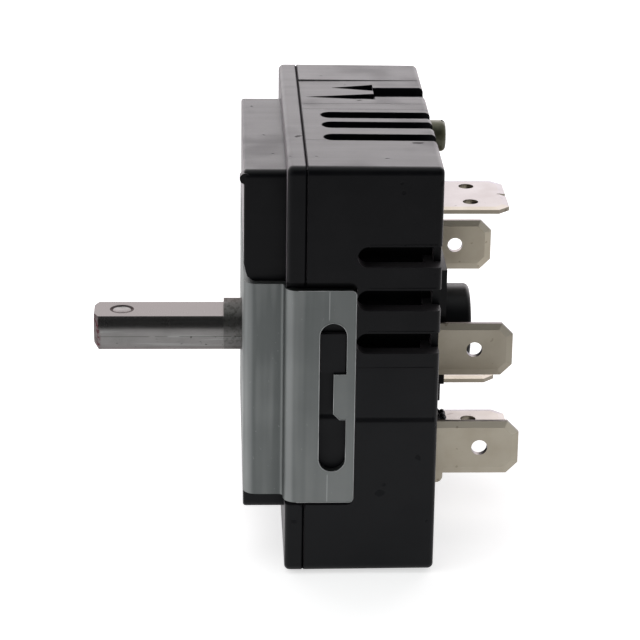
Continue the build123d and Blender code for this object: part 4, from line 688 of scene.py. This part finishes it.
def paint_parts(nodes, moulding):
    """Gives each CAD node its finish."""
    bronze = plain_metal("spring_bronze", BRONZE, BRONZE_DULL, 0.28)
    spring = plain_metal("spring_steel", SPRING_STEEL, SPRING_STEEL_DULL, 0.22)
    lever = plain_metal("lever_steel", SHEET_STEEL, SHEET_STEEL_DULL, 0.34)
    silver = plain_metal("contact_silver", SILVER, SILVER_DULL, 0.26)
    brass = plain_metal("rivet_brass", BRASS, BRASS_DULL, 0.30)
    shaft = turned_steel(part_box("drive_shaft")[0].y)
    blades = {
        terminal: tinned_blade(name, painted_lightness, True)
        for terminal, (name, painted_lightness) in UPRIGHT_BLADES.items()
    }
    level_blade = tinned_blade("tinned_level_blade", LEVEL_BLADE_TONE, False)
    strip_low, strip_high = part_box("bimetal_strip")
    white = ceramic()
    finishes = {
        "housing": moulding,
        "front_cover": moulding,
        "mounting_bracket": bracket_zinc(),
        "drive_shaft": shaft,
        "cam_rotor": cream_moulding(),
        "shaft_return_spring": spring,
        "setting_lever": lever,
        "lever_pivot_pin": shaft,
        "bimetal_strip": two_metal_strip((strip_low.z + strip_high.z) / 2),
        "bimetal_rivet": brass,
        "heater_plate": white,
        "heater_clips": spring,
        "push_stud": white,
        "contact_arm": bronze,
        "contact_arm_pin": shaft,
        "snap_spring": bronze,
        "line_blade": bronze,
        "pilot_blade": bronze,
        "blade_rivets": brass,
        "detent_spring": spring,
        "calibration_screw": olive_lacquer(),
    }
    for name, node in nodes.items():
        if name.endswith("_terminal"):
            finish = blades.get(name, level_blade)
        elif name.endswith("_contact"):
            finish = silver
        else:
            finish = finishes[name]
        node.data.materials.clear()
        node.data.materials.append(finish)


def collar_threads(material):
    """The turns of thread inside the bracket's two drawn collars."""
    g = Growth(
        "collar_threads",
        Spacing=THREAD_SPACING * MM,
        Radius=THREAD_R * MM,
        Crest=THREAD_CREST * MM,
        Pitch=THREAD_PITCH * MM,
        Start=THREAD_START * MM,
        Length=THREAD_LENGTH * MM,
    )
    size = g.size
    turns = size["Length"] / size["Pitch"]
    coil = g.add(
        "GeometryNodeCurveSpiral",
        Resolution=THREAD_FACETS,
        Rotations=turns,
        Start_Radius=size["Radius"],
        End_Radius=size["Radius"],
        Height=size["Length"],
    )
    coil = g.add("GeometryNodeSetCurveNormal", settings={"mode": "Z_UP"}, Curve=coil)
    ridge = g.add("GeometryNodeCurvePrimitiveCircle", Resolution=4, Radius=size["Crest"])
    thread = g.tube(coil, ridge)
    down = g.vector(x=-pi / 2)
    thread = g.add("GeometryNodeTransform", Geometry=thread, Rotation=down)
    half = size["Spacing"] * 0.5
    start = g.vector(x=half * -1.0, y=size["Start"])
    apart = g.vector(x=size["Spacing"])
    places = g.add("GeometryNodeMeshLine", Count=2, Start_Location=start, Offset=apart)
    copies = g.add("GeometryNodeInstanceOnPoints", Points=places, Instance=thread)
    return g.grow("collar_threads", copies, material, "base")


def rim_edges(plate, start_y):
    """Corner points and edges round the outer faces of the bracket's two legs and their slots."""
    vertices = plate.data.vertices
    reach = max(v.co.x for v in vertices)
    uses = {}
    for face in plate.data.polygons:
        corners = [tuple(round(c, 7) for c in vertices[i].co) for i in face.vertices]
        if all(abs(c[0]) > reach - LEG_FACE_DEPTH for c in corners):
            for a, b in zip(corners, corners[1:] + corners[:1]):
                pair = (min(a, b), max(a, b))
                uses[pair] = uses.get(pair, 0) + 1
    alone = [pair for pair, count in uses.items() if count == 1]
    outline = [(a, b) for a, b in alone if (a[1] + b[1]) / 2 > start_y]
    points = sorted({point for pair in outline for point in pair})
    place = {point: i for i, point in enumerate(points)}
    return points, [(place[a], place[b]) for a, b in outline]


def bright_rims(plate, start_y, material):
    """The fine burr that the punch leaves round the bracket's legs and slots, coloured bright as a
    painted highlight along their edges.
    """
    g = Growth("bright_rims", Radius=RIM_R * MM, Swell=RIM_SWELL, Patch=RIM_PATCH)
    size = g.size
    outline = g.add("GeometryNodeMeshToCurve", Mesh=g.path)
    patch = g.add("ShaderNodeTexNoise", Scale=size["Patch"], Detail=1.0)
    wide = 1.0 - size["Swell"] + 2.0 * size["Swell"] * patch
    outline = g.add("GeometryNodeSetCurveRadius", Curve=outline, Radius=wide)
    ring = g.add("GeometryNodeCurvePrimitiveCircle", Resolution=6, Radius=size["Radius"])
    burr = g.add(
        "GeometryNodeCurveToMesh",
        out="Mesh",
        Curve=outline,
        Profile_Curve=ring,
        Scale=wide,
    )
    return g.grow("bright_rims", burr, material, "base", *rim_edges(plate, start_y))


def slot_edges(nodes, rear_y):
    """Corner points and edges of the terminal slots, where the blades leave the rear face."""
    points = []
    edges = []
    for name, node in sorted(nodes.items()):
        if not name.endswith("_terminal"):
            continue
        outside = [v.co for v in node.data.vertices if v.co.y > rear_y + PAST_HUB_PAD]
        x0, x1 = min(p.x for p in outside), max(p.x for p in outside)
        z0, z1 = min(p.z for p in outside), max(p.z for p in outside)
        first = len(points)
        points += [(x0, rear_y, z0), (x1, rear_y, z0), (x1, rear_y, z1), (x0, rear_y, z1)]
        edges += [(first + i, first + (i + 1) % 4) for i in range(4)]
    return points, edges


def rib_edges(rear_y):
    """Corner points and edges of the top of the rib beside the lower middle blade."""
    x0, x1 = (x * MM for x in RIB_X)
    y0, y2 = (rear_y + y * MM for y in RIB_Y)
    y1 = (y0 + y2) / 2
    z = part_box("pilot_lamp_terminal")[0].z + RIB_TOP * MM
    points = [(x0, y0, z), (x1, y0, z), (x1, y1, z), (x0, y1, z), (x0, y2, z), (x1, y2, z)]
    return points, [(i, i + 1) for i in range(len(points) - 1)]


def burrs(name, radius, step, kept, seed, material, points, edges):
    """Beads of moulding scattered along a path, some left out."""
    g = Growth(name, Radius=radius * MM, Step=step * MM, Kept=kept, Seed=seed)
    size = g.size
    outline = g.add("GeometryNodeMeshToCurve", Mesh=g.path)
    spots = g.add(
        "GeometryNodeCurveToPoints",
        out="Points",
        settings={"mode": "LENGTH"},
        Curve=outline,
        Length=size["Step"],
    )
    stays = g.add(
        "FunctionNodeRandomValue",
        settings={"data_type": "BOOLEAN"},
        Probability=size["Kept"],
        Seed=size["Seed"],
    )
    wide = g.random_vector(BEAD_LEAST, BEAD_MOST, size["Seed"] + 1)
    spin = g.random_vector((0.0, 0.0, 0.0), BEAD_TURN, size["Seed"] + 2)
    bead = g.add("GeometryNodeMeshIcoSphere", out="Mesh", Radius=size["Radius"], Subdivisions=2)
    beads = g.add(
        "GeometryNodeInstanceOnPoints",
        Points=spots,
        Selection=stays,
        Instance=bead,
        Rotation=spin,
        Scale=wide,
    )
    return g.grow(name, beads, material, "base", points, edges)


def heater_film(material):
    """The resistor film: one strip that runs back and forth over the ceramic plate."""
    low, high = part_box("heater_plate")
    middle_x = (low.x + high.x) / 2
    middle_y = (low.y + high.y) / 2
    points = []
    for lane in range(FILM_LANES):
        x = middle_x + (lane - (FILM_LANES - 1) / 2) * FILM_LANE_PITCH * MM
        side = 1 if lane % 2 else -1
        points.append((x, middle_y + side * FILM_REACH * MM, high.z))
        points.append((x, middle_y - side * FILM_REACH * MM, high.z))
    edges = [(i, i + 1) for i in range(len(points) - 1)]
    width = FILM_WIDTH * MM
    g = Growth("heater_film", Width=width, Height=FILM_HEIGHT * MM, Bend=width * FILM_BEND)
    line = g.bent_path(5, g.size["Bend"])
    line = g.add("GeometryNodeSetCurveNormal", settings={"mode": "Z_UP"}, Curve=line)
    across = g.oblong(g.size["Width"], g.size["Height"])
    film = g.tube(line, across)
    return g.grow("heater_film", film, material, "lever", points, edges)


def return_coil(material, travel):
    """The shaft's return spring."""
    low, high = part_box("shaft_return_spring")
    wire = COIL_WIRE_R * MM
    length = high.y - low.y
    radius = (high.x - low.x) / 2 - wire
    g = Growth(
        "return_coil",
        Radius=radius,
        Wire=wire,
        Turns=COIL_TURNS,
        Length=length - 2 * wire,
        Start=low.y + wire,
    )
    size = g.size
    coil = g.add(
        "GeometryNodeCurveSpiral",
        Resolution=COIL_FACETS,
        Rotations=size["Turns"],
        Start_Radius=size["Radius"],
        End_Radius=size["Radius"],
        Height=size["Length"],
    )
    section = g.add("GeometryNodeCurvePrimitiveCircle", Resolution=8, Radius=size["Wire"])
    spring = g.tube(coil, section)
    place = g.vector(y=size["Start"])
    down = g.vector(x=-pi / 2)
    spring = g.add("GeometryNodeTransform", Geometry=spring, Translation=place, Rotation=down)
    piece = g.grow("return_coil", spring, material, "rotor")
    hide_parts("shaft_return_spring")
    1 - travel / length
    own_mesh(piece)


def detent_leaf(material):
    """The bent leaf in the rotor's off notch."""
    low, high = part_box("detent_spring")
    half = LEAF_THICKNESS * MM / 2
    post_x = low.x + half
    knee_x = post_x + LEAF_KNEE_IN * MM
    bump_x = high.x - LEAF_BUMP_IN * MM
    end_z = high.z - LEAF_END_IN * MM
    knee_z = LEAF_KNEE_Z * MM
    y = (low.y + high.y) / 2
    half_path = [(post_x, y, end_z), (knee_x, y, knee_z)]
    points = half_path + [(bump_x, y, 0)] + [(x, y, -z) for x, y, z in reversed(half_path)]
    edges = [(i, i + 1) for i in range(len(points) - 1)]
    g = Growth(
        "detent_leaf",
        Thickness=LEAF_THICKNESS * MM,
        Width=high.y - low.y,
        Bend=LEAF_BEND * MM,
    )
    size = g.size
    line = g.bent_path(6, size["Bend"])
    section = g.oblong(size["Width"], size["Thickness"])
    leaf = g.tube(line, section)
    piece = g.grow("detent_leaf", leaf, material, "base", points, edges)
    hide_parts("detent_spring")
    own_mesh(piece)


def studio_floor(lowest):
    """One pale floor under the part, lifted to white for the camera, and in reflections within a
    painted pool of light that fades outward.
    """
    f = Finish("studio_floor")
    diffuse = f.add("ShaderNodeBsdfDiffuse", out="BSDF", Color=PALE)
    glow = f.add("ShaderNodeEmission", out="Emission", Color=WHITE, Strength=FLOOR_LIFT)
    both = f.add("ShaderNodeAddShader", out="Shader", Shader=[diffuse, glow])
    rays = f.add("ShaderNodeLightPath", out=RAYS)
    # Painted pool of light: reflections see the floor glow white near the part, fading outward.
    painted_pool = 1.0 - FLOOR_PAINTED_POOL_FADE * f.band((f.x * f.x + f.y * f.y).root(), *FLOOR_PAINTED_POOL)
    seen = (rays[0] + (rays[1] + rays[2]) * painted_pool).clamped()
    mixed = f.add("ShaderNodeMixShader", out="Shader", Fac=seen, Shader=[diffuse, both])
    f.finish("ShaderNodeOutputMaterial", Surface=mixed)
    f.material.cycles.emission_sampling = "NONE"
    mesh = bpy.data.meshes.new("studio_floor")
    half = FLOOR_SIZE / 2
    z = lowest - FLOOR_DROP
    corners = [(-half, -half, z), (half, -half, z), (half, half, z), (-half, half, z)]
    mesh.from_pydata(corners, [], [(0, 1, 2, 3)])
    mesh.materials.append(f.material)
    floor = bpy.data.objects.new("studio_floor", mesh)
    bpy.context.scene.collection.objects.link(floor)


def studio_room():
    """Even room light, which reflections see white behind the part and dim in front of it."""
    world = bpy.data.worlds.new("studio_room")
    bpy.context.scene.world = world
    world.use_nodes = True
    world.cycles.sampling_method = "NONE"
    r = Bench(world.node_tree)
    r.tree.nodes.clear()
    rays = r.add("ShaderNodeLightPath", out=RAYS)
    direction = r.add("ShaderNodeTexCoord", out="Generated")
    ahead = r.add("ShaderNodeSeparateXYZ", out="X", Vector=direction)
    mirrored = 1.0 - (1.0 - ROOM_DIM_SIDE) * r.band(ahead, *ROOM_DIM_BAND)
    shown = (rays[1] + rays[2]).clamped()
    strength = rays[0] + (1.0 - rays[0]) * (shown * mirrored + (1.0 - shown) * ROOM_LIGHT)
    light = r.add("ShaderNodeBackground", Color=WHITE, Strength=strength)
    r.finish("ShaderNodeOutputWorld", Surface=light)


def soft_box(name, place, size, power, colour):
    """A rectangular lamp that looks at the part."""
    lamp = bpy.data.lights.new(name, "AREA")
    lamp.shape = "RECTANGLE"
    lamp.size, lamp.size_y = size
    lamp.energy = power
    lamp.color = colour
    box = bpy.data.objects.new(name, lamp)
    bpy.context.scene.collection.objects.link(box)
    box.location = place
    box.rotation_euler = (-Vector(place)).to_track_quat("-Z", "Y").to_euler()
    box.visible_camera = False


def photo_camera():
    """The photograph's camera."""
    lens = bpy.data.cameras.new("photo_camera")
    lens.sensor_width = SENSOR
    lens.lens = FOCAL_OVER_WIDTH * SENSOR
    lens.clip_start = CLIP_START
    view = bpy.data.objects.new("photo_camera", lens)
    bpy.context.scene.collection.objects.link(view)
    view.location = CAMERA_PLACE
    view.rotation_euler = [radians(a) for a in CAMERA_TURN_DEG]
    bpy.context.scene.camera = view


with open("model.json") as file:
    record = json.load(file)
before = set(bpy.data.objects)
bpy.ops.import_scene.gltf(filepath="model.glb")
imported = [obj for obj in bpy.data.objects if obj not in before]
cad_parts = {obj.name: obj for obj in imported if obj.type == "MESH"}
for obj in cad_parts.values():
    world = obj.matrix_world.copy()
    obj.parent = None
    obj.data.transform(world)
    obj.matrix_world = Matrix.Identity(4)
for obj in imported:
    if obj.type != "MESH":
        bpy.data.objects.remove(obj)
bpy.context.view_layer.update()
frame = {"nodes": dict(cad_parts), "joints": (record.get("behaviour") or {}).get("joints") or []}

nodes = frame["nodes"]
bracket = nodes["mounting_bracket"]
seam_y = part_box("front_cover")[1].y - COVER_RIM
rear_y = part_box("calibration_screw")[1].y - SCREW_HEAD
push = next(joint for joint in frame["joints"] if joint["name"] == "shaft_push")

moulding = black_moulding(seam_y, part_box("housing")[1].z)
paint_parts(nodes, moulding)
spring_metal = nodes["detent_spring"].data.materials[0]
collar_threads(bracket.data.materials[0])
burrs("slot_burrs", *SLOT_BURRS, moulding, *slot_edges(nodes, rear_y))
burrs("rib_burrs", *RIB_BURRS, moulding, *rib_edges(rear_y))
heater_film(resistor_film())
return_coil(spring_metal, push["range_m"][1])
detent_leaf(spring_metal)
# Burr rims coloured brighter than the plate, a painted highlight along the edges.
rim_highlight_metal = plain_metal("rubbed_zinc", ZINC_BRIGHT, ZINC_RIM_HIGHLIGHT, 0.30, (1, 1, 0.1))
bright_rims(bracket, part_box("housing")[0].y, rim_highlight_metal)

studio_floor(min(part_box(name)[0].z for name in nodes))
studio_room()
for lamp in SOFT_BOXES:
    soft_box(*lamp)
photo_camera()
bpy.context.scene.view_settings.view_transform = "Standard"
